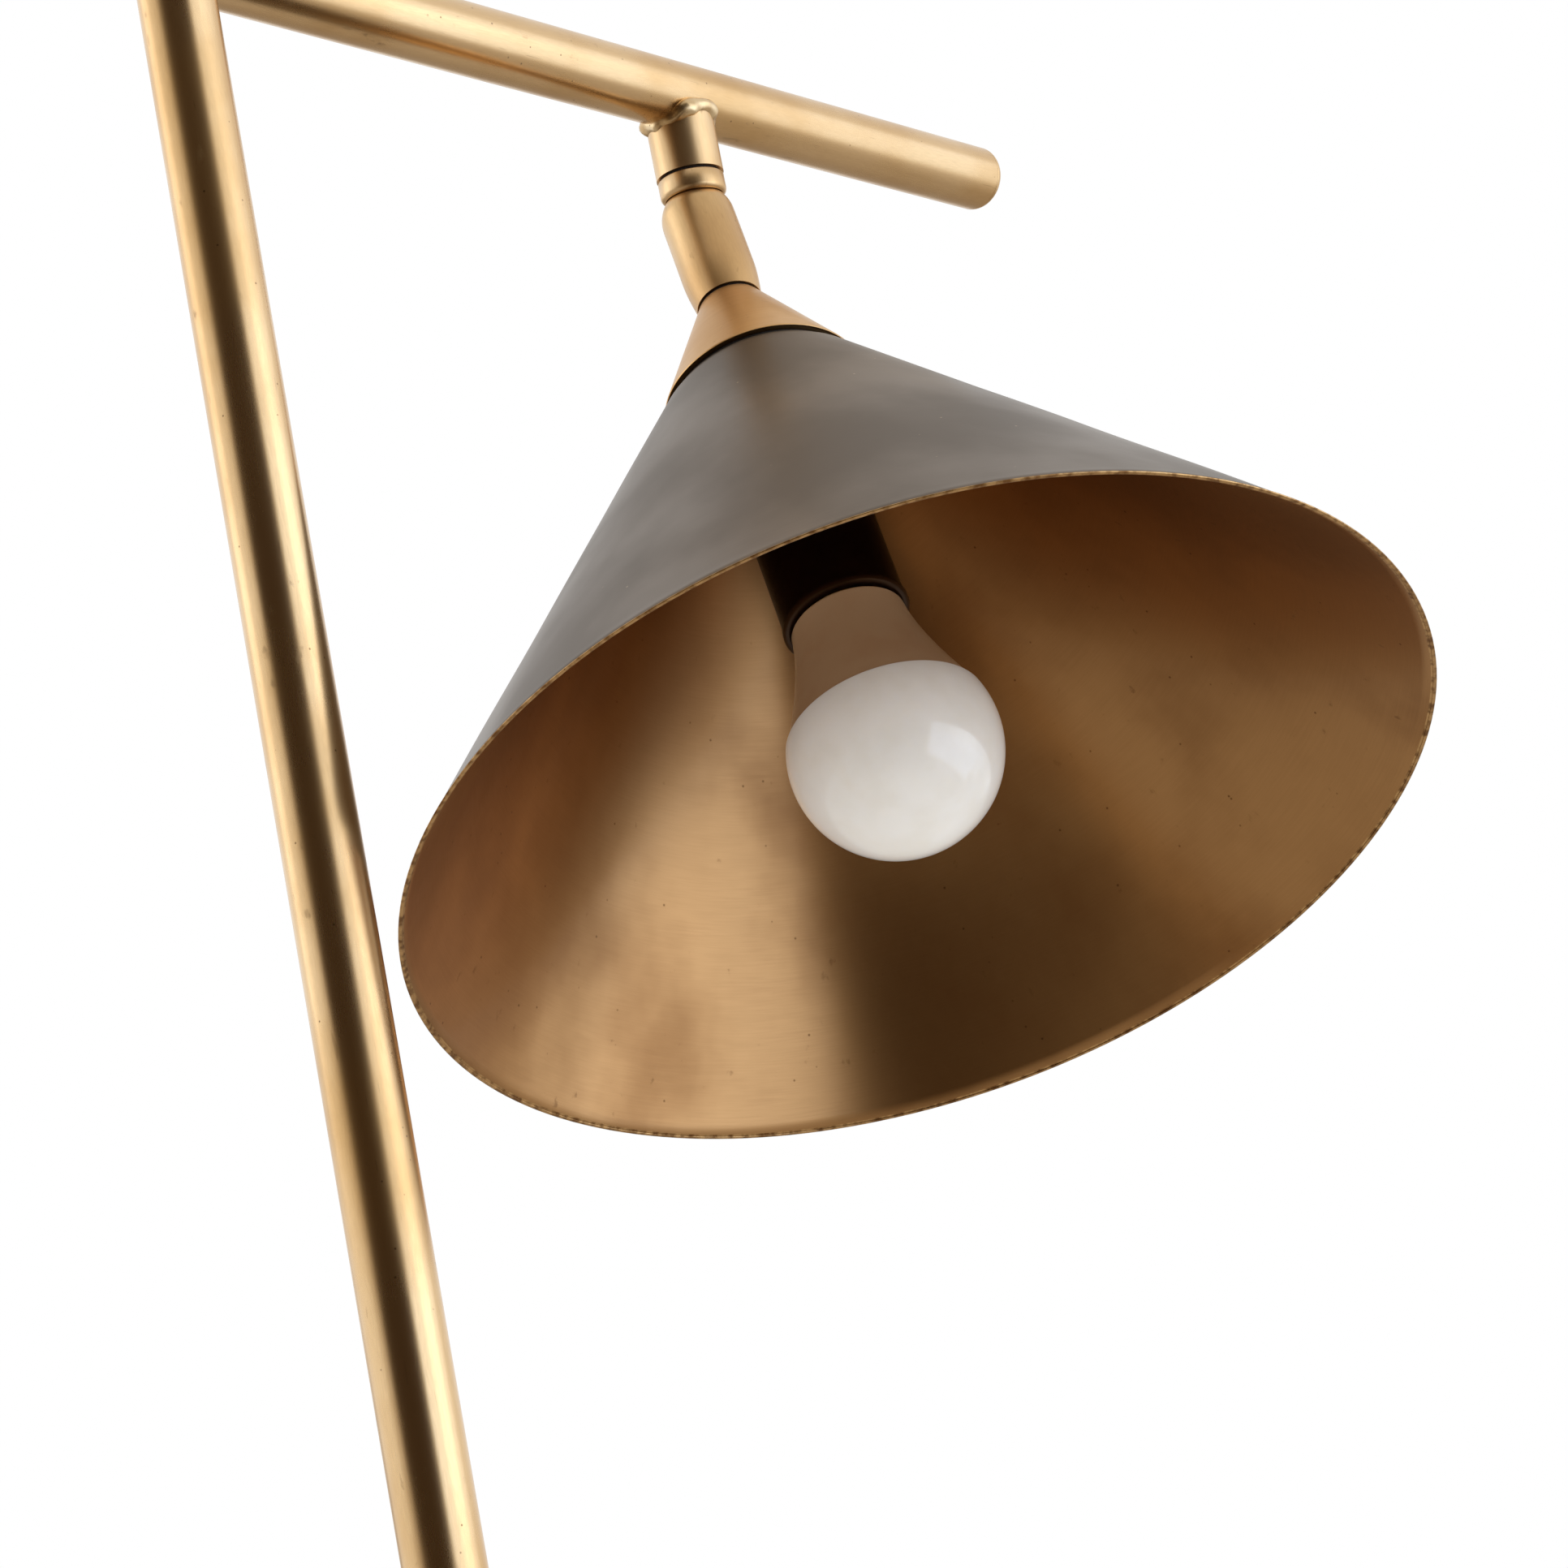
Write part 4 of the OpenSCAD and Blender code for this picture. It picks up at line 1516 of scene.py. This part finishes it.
@dataclass
class Studio:
    """Pale floor, white surroundings, softboxes and the camera."""

    target: tuple[float, float, float] = (0.132, 0.011, 1.286)
    distance: float = 1.17
    heading: float = 41.06
    pitch: float = 24.56
    roll: float = -0.47
    lens: float = 91.2
    walls: float = 1.0
    ceiling: float = 0.9
    ground: float = 0.55
    floor_reach: float = 30.0
    warmth: tuple[float, float, float] = (1.0, 1.15, 1.35)
    daylight: tuple[float, float, float] = (0.0, 0.12, 0.35)
    panels: tuple[Panel, ...] = (
        Panel(heading=212, pitch=-5, half_width=44, half_height=40, edge=16, level=0.05),
        Panel(heading=-68, pitch=14, half_width=36, half_height=27, edge=8, level=1.38),
        Panel(heading=-75, pitch=-12, half_width=29, half_height=13, edge=7, level=1.68),
        Panel(heading=112, pitch=8, half_width=40, half_height=26, edge=12, level=1.1),
        Panel(heading=37, pitch=-8, half_width=45, half_height=16, edge=10, level=0.4),
    )

    def camera(self) -> None:
        """Sets up the camera, looking up at the head."""
        data = bpy.data.cameras.new("camera")
        data.lens, data.sensor_width = self.lens, 36.0
        data.clip_start, data.clip_end = 0.01, 100.0
        camera = bpy.data.objects.new("camera", data)
        bpy.context.scene.collection.objects.link(camera)
        yaw, rise = math.radians(self.heading), math.radians(self.pitch)
        look = Vector(
            (math.cos(yaw) * math.cos(rise), math.sin(yaw) * math.cos(rise), math.sin(rise))
        )
        camera.location = Vector(self.target) - look * self.distance
        camera.rotation_mode = "QUATERNION"
        level = look.to_track_quat("-Z", "Y")
        tilt = Matrix.Rotation(math.radians(self.roll), 3, "Z").to_quaternion()
        camera.rotation_quaternion = level @ tilt
        bpy.context.scene.camera = camera

    def surroundings(self) -> None:
        """White to the camera; to the metal, pale walls with bright, dim and dark panels.

        Dimmer parts of the walls are warmer, as brown wood and card are, and the brightest
        panels are cooler, as daylight is.
        """
        world = bpy.data.worlds.new("studio")
        bpy.context.scene.world = world
        world.use_nodes = True
        tree = world.node_tree
        tree.nodes.clear()
        way = add(tree, "ShaderNodeTexCoord", out="Generated")
        rise = add(tree, "ShaderNodeSeparateXYZ", {0: way}, "Z")
        level = add(
            tree,
            "ShaderNodeMapRange",
            {0: rise, 1: -0.35, 2: 0.05, 3: self.ground, 4: self.walls},
            interpolation_type="SMOOTHSTEP",
        )
        above = add(
            tree, "ShaderNodeMapRange", {0: rise, 1: 0.55, 2: 0.85}, interpolation_type="SMOOTHSTEP"
        )
        level = add(tree, "ShaderNodeMix", {0: above, 2: level, 3: self.ceiling}, data_type="FLOAT")
        for panel in self.panels:
            level = panel.laid_over(tree, way, level)
        tint = add(tree, "ShaderNodeCombineColor")
        lit = add(tree, "ShaderNodeMath", {0: level, 1: 1.0}, operation="MAXIMUM")
        for index, (warm, cool) in enumerate(zip(self.warmth, self.daylight)):
            wall = add(tree, "ShaderNodeMath", {0: level, 1: warm}, operation="POWER")
            lamp = add(tree, "ShaderNodeMath", {0: lit, 1: cool}, operation="POWER")
            part = add(tree, "ShaderNodeMath", {0: wall, 1: lamp}, operation="MULTIPLY")
            tree.links.new(part, tint.node.inputs[index])
        seen = add(tree, "ShaderNodeLightPath", out="Is Camera Ray")
        white = (1.0, 1.0, 1.0, 1.0)
        light = add(tree, "ShaderNodeMix", {0: seen, 6: tint, 7: white}, 2, data_type="RGBA")
        glow = add(tree, "ShaderNodeBackground", {"Color": light, "Strength": 1.0})
        add(tree, "ShaderNodeOutputWorld", {"Surface": glow})

    def floor(self) -> None:
        """Lays a plain pale floor, which the polished metal doesn't mirror."""
        far = self.floor_reach
        mesh = bpy.data.meshes.new("floor")
        mesh.from_pydata(
            [(-far, -far, 0), (far, -far, 0), (far, far, 0), (-far, far, 0)], [], [(0, 1, 2, 3)]
        )
        ground = bpy.data.objects.new("floor", mesh)
        bpy.context.scene.collection.objects.link(ground)
        mesh.materials.append(Moulded("pale_floor", "#e7e5e2", "#e7e5e2", 0.6, relief=0.0).build())
        ground.visible_glossy = False

    def build(self) -> None:
        """Sets up the studio."""
        bpy.context.scene.view_settings.view_transform = "Standard"
        self.camera()
        self.surroundings()
        self.floor()
        head = (0.09, -0.05, 1.3)
        Softbox("key_left", (-1.0, 1.6, 1.9), head, (0.9, 1.4), 3.0).build()
        Softbox("fill_right", (0.9, -1.9, 1.8), head, (1.2, 1.4), 4.0).build()


def main() -> None:
    """Builds the lamp piece by piece, then the studio."""
    logging.basicConfig(level=logging.INFO, format="%(name)s: %(message)s")
    layout = Layout()
    finishes = Finishes(layout)
    Tripod(layout, finishes).build()
    Welds(layout, finishes).build()
    Swivel(finishes).build()
    HeadFittings(layout, finishes).build()
    Shade(layout, finishes).build()
    Bulb(layout, finishes).build()
    Studio().build()


if __name__ == "__main__":
    main()
